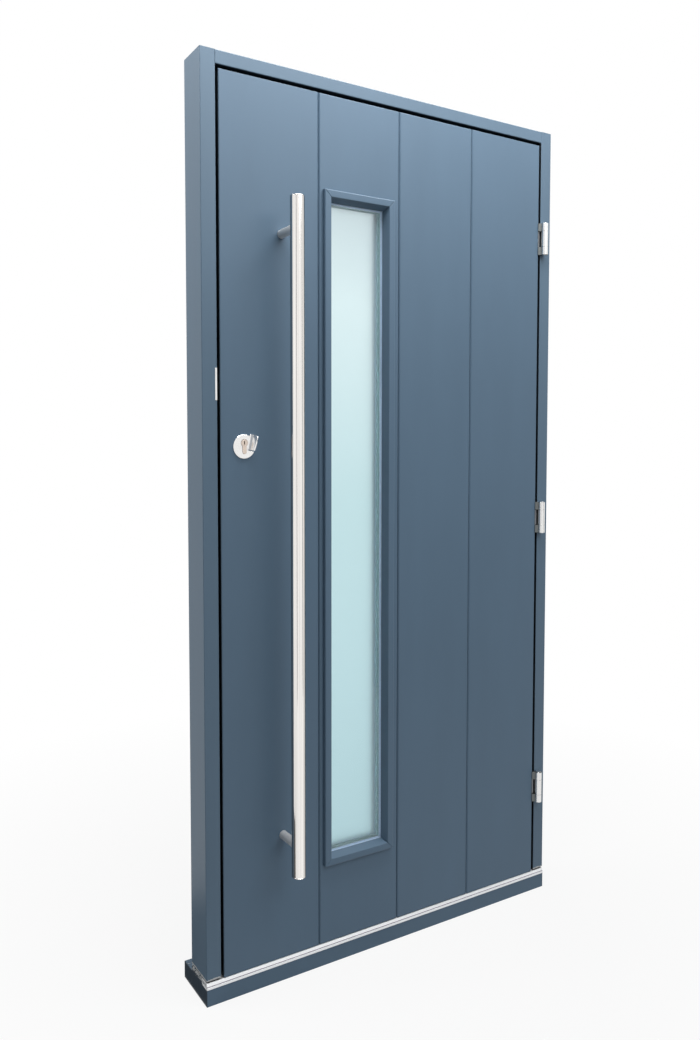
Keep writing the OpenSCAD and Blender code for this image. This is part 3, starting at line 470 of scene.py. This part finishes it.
# %% Finish: turned steel
def make_turned_steel(ring_pitch=0.0008, ring_depth=0.00003):
    material, tree, shader = new_finish("turned_steel")
    low, high = (Vector(corner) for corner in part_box("inner_rose"))
    centre = add_node(tree, "ShaderNodeMapping", {"Location": -(low + high) / 2})
    rings = add_node(tree, "ShaderNodeTexWave",
                     {"Scale": math.tau / 20 / ring_pitch, "Distortion": 0.4},
                     wave_type="RINGS", rings_direction="Y")
    tone = add_ramp(tree, [(0.0, (0.80, 0.79, 0.77)), (1.0, (0.90, 0.89, 0.88))])
    relief = add_node(tree, "ShaderNodeBump", {"Strength": 0.8, "Distance": ring_depth})
    wire(tree,
         (object_place(tree), centre.inputs["Vector"]), (centre.outputs["Vector"], rings.inputs["Vector"]),
         (rings.outputs["Fac"], tone.inputs["Fac"]), (tone.outputs["Color"], shader.inputs["Base Color"]),
         (rings.outputs["Fac"], relief.inputs["Height"]),
         (relief.outputs["Normal"], shader.inputs["Normal"]))
    fill(shader, {"Metallic": 1.0, "Roughness": 0.16})
    return material


turned_steel = make_turned_steel()
print("turned finish:", turned_steel.name)

# %% [markdown]
# ## Clear glass
# The light is a sealed unit: a clear pane outside and a frosted one inside. Both are real
# transmission. The clear pane is faintly green, and a film of dust varies its roughness.


# %% Finish: clear glass
def make_clear_glass():
    material, tree, shader = new_finish("clear_glass")
    haze = add_node(tree, "ShaderNodeTexNoise", {"Scale": 6.0, "Detail": 2.0})
    film = add_ramp(tree, [(0.3, (0.010, 0.010, 0.010)), (0.8, (0.035, 0.035, 0.035))])
    wire(tree,
         (object_place(tree), haze.inputs["Vector"]), (haze.outputs["Fac"], film.inputs["Fac"]),
         (film.outputs["Color"], shader.inputs["Roughness"]))
    fill(shader, {"Base Color": (0.94, 0.985, 0.98, 1.0), "Transmission Weight": 1.0, "IOR": 1.45})
    return material


clear_glass = make_clear_glass()
print("glass:", clear_glass.name)

# %% [markdown]
# ## Frosted glass
# The frosted pane is what the eye sees, pale and slightly green, because rough glass
# scatters what is behind it. An opaque panel would do for one picture, but real glass also
# works from indoors. The frost is high roughness and a fine bump. The colour is painted
# light: it pales towards the top, where more sky would shine through, and greys again at
# the very top.


# %% Finish: frosted glass
def make_frosted_glass(frost_scale=900.0, frost_depth=0.0002):
    material, tree, shader = new_finish("frosted_glass")
    place = object_place(tree)
    grains = add_node(tree, "ShaderNodeTexNoise", {"Scale": frost_scale, "Detail": 2.0})
    relief = add_node(tree, "ShaderNodeBump", {"Strength": 0.3, "Distance": frost_depth})
    split = add_node(tree, "ShaderNodeSeparateXYZ")
    # Painted light: the colour pales towards the top and greys again at the very top.
    painted_sky_tint = add_ramp(tree, [(0.0, (0.52, 0.74, 0.80)), (0.55, (0.60, 0.80, 0.84)),
                           (0.85, (0.80, 0.93, 0.96)), (1.0, (0.66, 0.76, 0.80))])
    low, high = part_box("inner_pane")
    wire(tree,
         (place, grains.inputs["Vector"]), (grains.outputs["Fac"], relief.inputs["Height"]),
         (relief.outputs["Normal"], shader.inputs["Normal"]), (place, split.inputs["Vector"]),
         (span(tree, split.outputs["Z"], low[2], high[2], 0.0, 1.0), painted_sky_tint.inputs["Fac"]),
         (painted_sky_tint.outputs["Color"], shader.inputs["Base Color"]))
    fill(shader, {"Roughness": 0.55, "Transmission Weight": 1.0, "IOR": 1.3})
    return material


frosted_glass = make_frosted_glass()
print("glass:", frosted_glass.name)

# %% [markdown]
# ## Grain in two tones
# Rubber, foam tape, the spacer and bare timber are all a grain between a dark and a light
# tone. The group mixes the two by noise and gives the noise as a height as well.


# %% Group: two-tone grain
def make_two_tone_grain(dark_until=0.3, light_from=0.7):
    group, given, result = new_group(
        "two_tone_grain",
        [("Dark", "Color", mid_grey), ("Light", "Color", mid_grey), ("Scale", "Float", 100.0),
         ("Stretch", "Vector", (1.0, 1.0, 1.0))],
        [("Colour", "Color"), ("Height", "Float")])
    stretch = add_node(group, "ShaderNodeVectorMath", operation="MULTIPLY")
    grain = add_node(group, "ShaderNodeTexNoise", {"Detail": 4.0, "Roughness": 0.6})
    tone = add_node(group, "ShaderNodeMix", data_type="RGBA")
    wire(group,
         (object_place(group), stretch.inputs[0]), (given["Stretch"], stretch.inputs[1]),
         (stretch.outputs["Vector"], grain.inputs["Vector"]), (given["Scale"], grain.inputs["Scale"]),
         (span(group, grain.outputs["Fac"], dark_until, light_from, 0.0, 1.0), tone.inputs["Factor"]),
         (given["Dark"], tone.inputs["A"]), (given["Light"], tone.inputs["B"]),
         (tone.outputs["Result"], result["Colour"]), (grain.outputs["Fac"], result["Height"]))
    return group


two_tone_grain = make_two_tone_grain()
print("group:", two_tone_grain.name)

# %% [markdown]
# ## Small finishes
# Seals and gaskets are black rubber, the glazing tape is a pale foam whose bright blue is
# partly a painted highlight, the spacer between the panes is a grey-green bar, and the
# timber inside the leaf is bare softwood, whose grain is drawn out along its length.


# %% Finish: rubber, tape, spacer, softwood
grain_strength = 0.15
grain_depth = 0.0003


def speckled(name, dark, light, scale, roughness, stretch=(1.0, 1.0, 1.0)):
    material, tree, shader = new_finish(name)
    grain = add_node(tree, "ShaderNodeGroup",
                     {"Dark": (*dark, 1.0), "Light": (*light, 1.0), "Scale": scale, "Stretch": stretch},
                     node_tree=two_tone_grain)
    relief = add_node(tree, "ShaderNodeBump", {"Strength": grain_strength, "Distance": grain_depth})
    wire(tree,
         (grain.outputs["Colour"], shader.inputs["Base Color"]),
         (grain.outputs["Height"], relief.inputs["Height"]),
         (relief.outputs["Normal"], shader.inputs["Normal"]))
    fill(shader, {"Roughness": roughness})
    return material


long_grain = (1.0, 1.0, 0.06)
seal_rubber = speckled("seal_rubber", (0.010, 0.010, 0.011), (0.022, 0.022, 0.024), 300.0, 0.65)
pale_tape_and_glint = speckled("pale_tape_and_glint", (0.54, 0.68, 0.90), (0.62, 0.76, 0.96), 200.0, 0.6)
spacer_grey = speckled("spacer_grey", (0.20, 0.33, 0.37), (0.28, 0.42, 0.46), 120.0, 0.45)
softwood = speckled("softwood", (0.42, 0.28, 0.15), (0.60, 0.43, 0.26), 60.0, 0.7, long_grain)
print("small finishes:", seal_rubber.name, pale_tape_and_glint.name, spacer_grey.name, softwood.name)

# %% [markdown]
# ## A new piece
# A piece made here gets an object at the origin, smooth faces with their normals evened
# out, one finish, and the body of the imported solid it belongs to. Where it stands in for
# that solid, the solid is hidden.


def finished_piece(name, bm, finish, node, stands_in=True):
    for face in bm.faces:
        face.smooth = True
        face.material_index = 0
    mesh = bpy.data.meshes.new(name)
    bm.to_mesh(mesh)
    bm.free()
    mesh.materials.append(finish)
    piece = bpy.data.objects.new(name, mesh)
    bpy.context.scene.collection.objects.link(piece)
    piece.modifiers.new("even_shading", "WEIGHTED_NORMAL").keep_sharp = True
    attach(piece, nodes[node]["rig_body"])
    if stands_in:
        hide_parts(node)
    return piece


# %% [markdown]
# ## A clean copy
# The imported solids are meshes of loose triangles. A copy is only fit for a bevel after
# points that lie on each other are merged and triangles of one flat face are joined. The
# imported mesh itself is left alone.


# %% Helper: copy a solid
merge_dist = 1e-6
flat_turn = math.radians(0.4)


def merged_copy(node):
    bm = bmesh.new()
    bm.from_mesh(nodes[node].data)
    bmesh.ops.remove_doubles(bm, verts=bm.verts, dist=merge_dist)
    bmesh.ops.dissolve_limit(bm, angle_limit=flat_turn, verts=bm.verts, edges=bm.edges)
    return bm


print("helper:", merged_copy.__name__)

# %% [markdown]
# ## Soft edges
# A painted edge is never knife-sharp: the joiner breaks it with sandpaper and the paint
# rounds it further, and that small round is what catches the light. A bevel modifier would
# round every edge alike; the operator can be told which edges to take. Here it takes those
# that turn by more than 28 degrees, and a board's front top edge can be rounded more.


# %% Helper: break the edges of a copy
sharp_turn = math.radians(28)
in_plane = 1e-5


def break_edges(bm, width, chosen=lambda edge: True):
    corners = [e for e in bm.edges if e.is_manifold and e.calc_face_angle() > sharp_turn]
    bmesh.ops.bevel(bm, geom=[e for e in corners if chosen(e)], offset=width, offset_type="OFFSET",
                    segments=2, profile=0.5, affect="EDGES", clamp_overlap=True, material=-1)


def on_front_top(node):
    low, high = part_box(node)
    front_y = low[1] + in_plane
    top_z = high[2] - in_plane
    return lambda edge: all(v.co.y < front_y and v.co.z > top_z for v in edge.verts)


def broken_edges(node, width, finish, top_round):
    bm = merged_copy(node)
    if top_round:
        break_edges(bm, top_round, on_front_top(node))
    break_edges(bm, width)
    return finished_piece(node + "_soft", bm, finish, node)


def soften(table, top_round=None):
    for (finish, width), names in table.items():
        pieces = [broken_edges(name, width, finish, top_round) for name in names]
        print(finish.name, sum(len(p.data.polygons) for p in pieces), "faces in", [p.name for p in pieces])


# %% [markdown]
# ## Painted timber
# Boards and beads lose about a millimetre at each edge. The sill, which is trodden on, is
# rounder. The outer boards get a wider round along their top, so that rain runs off and
# the edge catches some light under the head.

# %% Soften the timber
frame_arris = 0.0006
board_arris = 0.0010
bead_arris = 0.0012
rain_round = 0.0024
outer_boards = ["outer_board_1", "outer_board_2", "outer_board_3", "outer_board_4"]
soften({
    (jamb_paint, frame_arris): ["lock_jamb", "hinge_jamb"],
    (frame_paint, frame_arris): ["frame_head"],
    (frame_paint, board_arris): ["stop_strips"],
    (sill_paint, sill_arris): ["sill"],
    (leaf_paint, board_arris): ["inner_boards"],
    (leaf_paint, bead_arris): ["outer_beads", "inner_beads"]})
soften({(leaf_paint, board_arris): outer_boards}, top_round=rain_round)

# %% [markdown]
# ## Metal pieces
# Plates are stamped and then tumbled, which leaves an edge of a few tenths. Discs and bolt
# are eased a little more, the cylinder and the covers over the pull's bolts are rounded,
# and a casting such as the thumbturn is rounder still. The key plug and the posts keep
# nearly sharp edges.

# %% Soften the metal
crisp = 0.0002
stamped = 0.0003
tumbled = 0.0004
eased = 0.0006
milled = 0.0008
rounded = 0.0010
cast = 0.0012
hinge_spots = ("top", "middle", "bottom")
hinge_names = [half + spot for half in ("door_hinge_", "frame_hinge_") for spot in hinge_spots]
soften({
    (bar_alloy, stamped): ["threshold_bar"],
    (hinge_steel, stamped): ["latch_keep", "bolt_keep"],
    (hinge_steel, tumbled): hinge_names + ["hinge_pins", "lock_forend"],
    (turned_steel, eased): ["cylinder_pull", "inner_rose"],
    (bright_steel, cast): ["thumbturn"],
    (plug_nickel, milled): ["cylinder_body"],
    (plug_nickel, crisp): ["key_plug"],
    (zinc_steel, eased): ["dead_bolt"],
    (tube_steel, rounded): ["pull_covers"],
    (post_steel, crisp): ["pull_post_top", "pull_post_bottom"]})

# %% [markdown]
# ## A second finish on chosen faces
# Some pieces carry two finishes: a polished barrel with dull plates, a bright bar with a
# dirty line. Cutting such a piece in two would be wrong, because it is one piece. So a
# second material is added to the copy, and a test on place and direction picks its faces.


# %% Helper: finish chosen faces
facing_share = 0.9


def refinish(name, finish, chosen):
    mesh = bpy.data.objects[name + "_soft"].data
    mesh.materials.append(finish)
    faces = [face for face in mesh.polygons if chosen(face)]
    for face in faces:
        face.material_index = len(mesh.materials) - 1
    print(name, finish.name, len(faces), "faces of", len(mesh.polygons))


# %% [markdown]
# ## Hinge plates
# A hinge's barrel is polished. Its plates take a nearly black steel, which is painted shade.
# A face belongs to the barrel when it lies at the barrel's radius and looks away from the pin.

# %% Darken the hinge plates with painted shade
round_tol = 0.05
pin_low, pin_high = (Vector(corner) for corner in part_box("hinge_pins"))
pin_axis = (pin_low + pin_high).to_2d() / 2
barrel_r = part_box("frame_hinge_top")[1][0] - pin_axis.x


def off_barrel(face):
    spoke = face.center.to_2d() - pin_axis
    at_radius = abs(spoke.length / barrel_r - 1) < round_tol
    looks_out = spoke.normalized().dot(face.normal.to_2d()) > facing_share
    return not (at_radius and looks_out)


for hinge_name in hinge_names:
    refinish(hinge_name, shaded_plate_steel, off_barrel)

# %% [markdown]
# ## The line in the weather bar
# A shallow line runs along the front of the threshold bar, and its inside is painted dark
# as painted shade. A strip laid on top would stand proud, so the inside of the line itself is
# chosen: the faces just behind the bar's front, at half its height.

# %% Paint shade into the line
line_half = 0.0013
line_from = 0.0004
line_to = 0.002
bar_low, bar_high = (Vector(corner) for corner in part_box("threshold_bar"))
bar_mid_z = (bar_low.z + bar_high.z) / 2


def in_line(face):
    depth = face.center.y - bar_low.y
    return abs(face.center.z - bar_mid_z) < line_half and line_from < depth < line_to


refinish("threshold_bar", groove_shade, in_line)

# %% [markdown]
# ## Finger lip and cylinder
# The finger lip stands out of the turned disc. It was polished by hand, apart from the
# bend that looks to the left, which is rougher and takes a darker steel as painted shade.
# Round the cylinder's front, the rounded edge is painted dark as painted shade.

# %% Polish the lip
lip_clear = 0.0003
bend_steep = -0.6
bend_flat = -0.985
bend_left = -0.1
edge_steep = -0.1
edge_flat = -0.95
disc_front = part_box("key_plug")[0][1]


def on_lip(face):
    return face.center.y < disc_front - lip_clear


def on_bend(face):
    return on_lip(face) and bend_flat < face.normal.y < bend_steep and face.normal.x < bend_left


refinish("cylinder_pull", bright_steel, on_lip)
# Painted shade: the bend that looks to the left takes the darker dull steel.
refinish("cylinder_pull", dull_shaded_steel, on_bend)
# Painted shade on the rounded edge round the cylinder's front.
refinish("cylinder_body", groove_shade, lambda face: edge_flat < face.normal.y < edge_steep)

# %% [markdown]
# ## Flap edges of the hinges
# Between its two knuckles, the door half of a hinge shows the folded edge of its flap: a
# narrow grey strip beside the gap. It could be cut out of the imported hinge, but the
# imported mesh is left alone. So it is a small block with broken edges for each hinge, all
# three in one piece that rides on the leaf.

# %% Fold the flap edges
flap_w, flap_d, flap_h = 0.0035, 0.0026, 0.040
flap_proud = 0.0006
flap_gap = 0.0001
leaf_edge_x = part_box("outer_board_4")[1][0]
flap_size = Matrix.Diagonal((flap_w, flap_d, flap_h, 1.0))
flap_bm = bmesh.new()
for spot in hinge_spots:
    low, high = (Vector(corner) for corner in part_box("door_hinge_" + spot))
    middle = Vector((leaf_edge_x + flap_w / 2 + flap_gap, flap_d / 2 - flap_proud, (low.z + high.z) / 2))
    bmesh.ops.create_cube(flap_bm, size=1.0, matrix=Matrix.Translation(middle) @ flap_size)
break_edges(flap_bm, tumbled)
# The flap edges' darker grey is partly painted shade.
flaps = finished_piece("hinge_flap_edges", flap_bm, dull_shaded_steel, "door_hinge_top", stands_in=False)
print(flaps.name, len(flaps.data.polygons), "faces")

# %% [markdown]
# ## The gap round the leaf
# In soft light the gap would only turn grey, so the faces that look into it are painted
# nearly black: painted shade. Each is named by its piece, its axis and the side it looks to;
# only faces lying in that side of the piece are chosen.


# %% Painted shade in the gap
side_tol = 0.0005


def facing(node, axis, side):
    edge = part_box(node)[side > 0][axis]
    return lambda face: (face.normal[axis] * side > facing_share
                         and abs(face.center[axis] - edge) < side_tol)


for node, axis, side in (("lock_jamb", 0, 1), ("hinge_jamb", 0, -1), ("frame_head", 2, -1),
                         ("outer_board_1", 0, -1), ("outer_board_4", 0, 1)):
    refinish(node, gap_shade_paint, facing(node, axis, side))

# %% [markdown]
# ## The spacer between the panes
# On the imported model the spacer touches both panes. Real spacers sit in a thin bead of
# sealant. The copy stands clear of the panes by the bead's thickness, and its front is the
# pale blue of the light line round the glass, partly sealant and partly a painted highlight.

# %% Bed the spacer
sealant = 0.0004
front_y, back_y = (corner[1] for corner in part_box("pane_spacer"))
spacer_bm = merged_copy("pane_spacer")
for vert in spacer_bm.verts:
    vert.co.y = min(max(vert.co.y, front_y + sealant), back_y - sealant)
finished_piece("pane_spacer_soft", spacer_bm, spacer_grey, "pane_spacer")
# Partly painted highlight: the spacer's front takes the pale blue of the line round the glass.
refinish("pane_spacer", pale_tape_and_glint, lambda face: face.normal.y < -facing_share)

# %% [markdown]
# ## Spinning a profile
# Tubes and turned discs are round about one axis. A cylinder primitive could be scaled to
# fit, but a profile of radius and height, spun once round the axis, also draws a wall or a
# rounded rim. Points that fall on the axis or on the seam are merged afterwards.


# %% Helper: spin profiles round an upright axis
seam_dist = 1e-7


def spun(profiles, centre, steps=96):
    bm = bmesh.new()
    for profile in profiles:
        ring = [bm.verts.new((centre[0] + r, centre[1], z)) for r, z in profile]
        edges = [bm.edges.new(pair) for pair in zip(ring, ring[1:])]
        bmesh.ops.spin(bm, geom=ring + edges, cent=(*centre, 0.0), axis=(0, 0, 1), angle=math.tau,
                       steps=steps, use_merge=True, use_duplicate=False)
    bmesh.ops.remove_doubles(bm, verts=bm.verts, dist=seam_dist)
    bmesh.ops.recalc_face_normals(bm, faces=bm.faces)
    return bm


print("helper:", spun.__name__)

# %% [markdown]
# ## The long pull
# The pull is a drawn tube with a wall of 1.5 mm. Its profile is a closed loop of four
# corners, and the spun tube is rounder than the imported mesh.

# %% Spin the tube
wall_t = 0.0015
tube_low, tube_high = (Vector(corner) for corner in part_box("pull_tube"))
tube_r = (tube_high.x - tube_low.x) / 2
bore_r = tube_r - wall_t
tube_axis = ((tube_low.x + tube_high.x) / 2, (tube_low.y + tube_high.y) / 2)
wall_loop = [(bore_r, tube_low.z), (tube_r, tube_low.z), (tube_r, tube_high.z), (bore_r, tube_high.z),
             (bore_r, tube_low.z)]
tube = finished_piece("pull_tube_spun", spun([wall_loop], tube_axis), tube_steel, "pull_tube")
print(tube.name, "radius", round(tube_r, 4))

# %% [markdown]
# ## Its end caps
# The caps that close the tube are turned discs. A cap's profile starts and ends on the
# axis, with a quarter round of 1.2 mm at its rim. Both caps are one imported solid, so both
# profiles are spun into one piece.

# %% Spin the caps
cap_rim = 0.0012
rim_parts = 4
cap_low, cap_high = (Vector(corner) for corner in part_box("pull_end_caps"))


def cap_profile(seat_z, tip_z):
    step = math.copysign(cap_rim, tip_z - seat_z)
    turns = [math.pi / 2 / rim_parts * i for i in range(rim_parts + 1)]
    quarter = [(tube_r - cap_rim + cap_rim * math.sin(a), tip_z - step * (1 - math.cos(a))) for a in turns]
    return [(0.0, tip_z)] + quarter + [(tube_r, seat_z), (0.0, seat_z)]


cap_profiles = [cap_profile(tube_low.z, cap_low.z), cap_profile(tube_high.z, cap_high.z)]
caps = finished_piece("pull_caps_spun", spun(cap_profiles, tube_axis), tube_steel, "pull_end_caps")
print(caps.name, len(caps.data.polygons), "faces")

# %% [markdown]
# ## Finishes for the rest
# Glass, seals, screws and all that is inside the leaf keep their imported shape, because no
# soft edge would be seen on them. They only need a material. A last line lists any solid
# that was forgotten.

# %% Hand out the finishes
plain = {
    seal_rubber: ["foot_gaskets", "lock_side_seal", "hinge_side_seal", "head_seal", "sill_seal",
                  "setting_blocks"],
    pale_tape_and_glint: ["glazing_tapes"],
    zinc_steel: ["keep_screws", "sill_screws", "frame_hinge_screws", "door_hinge_screws", "forend_screws",
                 "pull_bolts", "lock_case", "roller_carrier", "roller_pin"],
    bright_steel: ["roller"],
    softwood: ["core_panel", "corner_dowels"],
    leaf_paint: ["lock_stile", "hinge_stile", "top_rail", "bottom_rail"],
    clear_glass: ["outer_pane"],
    frosted_glass: ["inner_pane"]}
for finish, names in plain.items():
    for name in names:
        nodes[name].data.materials.clear()
        nodes[name].data.materials.append(finish)
shown = {name: solid.data.materials for name, solid in nodes.items() if not solid.hide_render}
forgotten = [name for name, slots in shown.items() if not slots or slots[0] not in plain]
print("solids without a finish of this lesson:", forgotten)

# %% [markdown]
# ## What is only seen
# The picture has a plain white ground. White could be had by more light, but that would
# bleach the door too. Instead, floor and sky look white only where they are seen: by the
# camera, in metal and through glass. Light Path tells such rays from those that carry
# light to the door. A flat sheet that is part of the stage serves as floor and cards.


# %% Helpers for the stage
def seen_directly(tree):
    path = add_node(tree, "ShaderNodeLightPath").outputs
    first, second = (add_node(tree, "ShaderNodeMath", operation="MAXIMUM") for _ in range(2))
    wire(tree,
         (path["Is Camera Ray"], first.inputs[0]), (path["Is Glossy Ray"], first.inputs[1]),
         (first.outputs[0], second.inputs[0]), (path["Is Transmission Ray"], second.inputs[1]))
    return second.outputs[0]


def stage_sheet(name, size, finish):
    bm = bmesh.new()
    bmesh.ops.create_grid(bm, x_segments=1, y_segments=1, size=0.5,
                          matrix=Matrix.Diagonal((*size, 1.0, 1.0)))
    mesh = bpy.data.meshes.new(name)
    bm.to_mesh(mesh)
    bm.free()
    mesh.materials.append(finish)
    sheet = bpy.data.objects.new(name, mesh)
    bpy.context.scene.collection.objects.link(sheet)
    return sheet


white = (1.0, 1.0, 1.0, 1.0)
print("helpers:", seen_directly.__name__, stage_sheet.__name__)

# %% [markdown]
# ## Floor
# The floor is pale and still takes the door's shadow, because near the door a tenth of it
# is lit like any surface. Farther out that share fades away.


# %% Floor
def make_floor_pale(grey=0.45, fade_from=0.5, fade_to=2.0, near_share=0.90):
    material, tree, shader = new_finish("floor_pale")
    fill(shader, {"Base Color": (grey, grey, grey, 1.0), "Roughness": 0.9})
    glow = add_node(tree, "ShaderNodeEmission", {"Color": white, "Strength": 1.0})
    reach = add_node(tree, "ShaderNodeVectorMath", operation="LENGTH")
    share = add_node(tree, "ShaderNodeMath", operation="MULTIPLY")
    blend = add_node(tree, "ShaderNodeMixShader")
    wire(tree,
         (object_place(tree), reach.inputs[0]), (seen_directly(tree), share.inputs[0]),
         (span(tree, reach.outputs["Value"], fade_from, fade_to, near_share, 1.0), share.inputs[1]),
         (share.outputs[0], blend.inputs["Fac"]), (shader.outputs["BSDF"], blend.inputs[1]),
         (glow.outputs["Emission"], blend.inputs[2]),
         (blend.outputs["Shader"], tree.nodes["Material Output"].inputs["Surface"]))
    return material


floor_w = 60.0
floor = stage_sheet("floor", (floor_w, floor_w), make_floor_pale())
print("stage:", floor.name)

# %% [markdown]
# ## Sky
# The sky gives a weak bluish light from all sides, as on an overcast day, and is plain
# white wherever it is seen. A picture of a sky would put clouds into every mirror, so two
# plain backgrounds and a switch are used.

# %% Sky
sky_strength = 0.22
world = bpy.data.worlds.new("studio")
bpy.context.scene.world = world
world.use_nodes = True
sky = world.node_tree
ambient = sky.nodes["Background"]
fill(ambient, {"Color": (0.93, 0.97, 1.0, 1.0), "Strength": sky_strength})
plain_white = add_node(sky, "ShaderNodeBackground", {"Color": white, "Strength": 1.0})
choose = add_node(sky, "ShaderNodeMixShader")
wire(sky,
     (seen_directly(sky), choose.inputs["Fac"]), (ambient.outputs["Background"], choose.inputs[1]),
     (plain_white.outputs["Background"], choose.inputs[2]),
     (choose.outputs["Shader"], sky.nodes["World Output"].inputs["Surface"]))
print("sky:", world.name)

# %% [markdown]
# ## Light
# The door was photographed by soft daylight from above and in front. A large high panel
# stands for the open sky. A second one hangs nearly over the door, so that it lights what
# faces up, such as the top edges of leaf and beads, and only grazes the boards. A third
# lights the frame's left side from high up, which leaves its foot dark.


# %% Lamps
def panel(name, place, target, size, power, colour=(1.0, 1.0, 1.0)):
    lamp = bpy.data.lights.new(name, "AREA")
    lamp.shape = "RECTANGLE"
    lamp.size, lamp.size_y = size
    lamp.energy = power
    lamp.color = colour
    holder = bpy.data.objects.new(name, lamp)
    holder.location = place
    holder.rotation_euler = (Vector(target) - Vector(place)).to_track_quat("-Z", "Y").to_euler()
    bpy.context.scene.collection.objects.link(holder)
    print("lamp:", name, "at", place, power, "W")


panel("sky_panel", place=(1.2, -3.0, 3.9), target=(0.0, 0.0, 1.2), size=(4.0, 2.4), power=98.0,
      colour=(0.97, 0.99, 1.0))
panel("overhead_panel", place=(0.0, -0.45, 2.9), target=(0.0, -0.15, 0.0), size=(1.8, 0.5), power=40.0)
panel("side_panel", place=(-2.0, 0.75, 3.2), target=(-0.5, 0.05, 1.5), size=(1.2, 1.0), power=54.0)

# %% [markdown]
# ## Cards for the mirrors
# Bright metal in an all-white room looks flat. Two upright grey cards, left and right of
# the camera, give the tube and the discs something to mirror, and a dark mat beside the
# frame keeps the satin paint low on its side from mirroring white floor. Only mirror rays
# see them: they cast no shadow and show in no picture.


# %% Cards
def mirror_card(name, place, size, tone, look_to):
    finish, _tree, shader = new_finish(name)
    fill(shader, {"Base Color": (0.0, 0.0, 0.0, 1.0), "Emission Color": (tone, tone, tone, 1.0),
                  "Emission Strength": 1.0})
    card = stage_sheet(name, size, finish)
    card.location = place
    card.rotation_euler = (Vector(look_to) - Vector(place)).to_track_quat("Z", "Y").to_euler()
    card.visible_camera = False
    card.visible_diffuse = False
    card.visible_shadow = False
    card.visible_transmission = False
    print("card:", name, "at", [round(v, 3) for v in place])


card_h = 3.2
card_z = card_h / 2
card_y = -1.65
card_tone = 0.43
pull_place = (*tube_axis, card_z)
mirror_card("left_card", (-1.95, card_y, card_z), (0.45, card_h), card_tone, pull_place)
mirror_card("right_card", (1.45, card_y, card_z), (0.6, card_h), card_tone, pull_place)
mat_w, mat_d = 0.75, 0.60
mat_gap = 0.001
mat_tone = 0.03
mat_x = -end_x - mat_w / 2 - mat_gap
mat_y = 0.15
mat_z = 0.002
mirror_card("dark_mat", (mat_x, mat_y, mat_z), (mat_w, mat_d), mat_tone, (mat_x, mat_y, 1.0))

# %% [markdown]
# ## Camera
# The camera stands left of the door, about 1.25 m up, and looks along its face. It could be
# turned until it looks right, but a fit to the edges of frame and leaf gave place, turn and
# lens at once. The picture is a crop, so its middle is not the lens's middle, and the lens
# is shifted.

# %% Camera
image_w, image_h = 700.0, 1040.0
focal_px, middle_x, middle_y = 853.57, 306.60, 487.49
camera_place = Vector((-1.2593, -1.7067, 1.2554))
tilt = Matrix.Rotation(0.0498, 3, "X")
turn = Matrix.Rotation(-0.5310, 3, "Y")
roll = Matrix.Rotation(-0.0018, 3, "Z")
face_door = Matrix(((1, 0, 0), (0, 0, -1), (0, 1, 0)))
right, down, ahead = roll @ tilt @ turn @ face_door
facing_picture = Matrix((right, -down, -ahead)).transposed().to_4x4()
lens = bpy.data.cameras.new("camera")
lens.sensor_fit = "VERTICAL"
lens.sensor_height = 36.0
lens.lens = lens.sensor_height * focal_px / image_h
lens.shift_x = (image_w / 2 - middle_x) / image_h
lens.shift_y = (middle_y - image_h / 2) / image_h
lens.clip_start = 0.05
camera = bpy.data.objects.new("camera", lens)
camera.matrix_world = Matrix.Translation(camera_place) @ facing_picture
bpy.context.scene.collection.objects.link(camera)
bpy.context.scene.camera = camera
bpy.context.scene.view_settings.view_transform = "Standard"
print("camera at", [round(v, 3) for v in camera_place], "lens", round(lens.lens, 2))
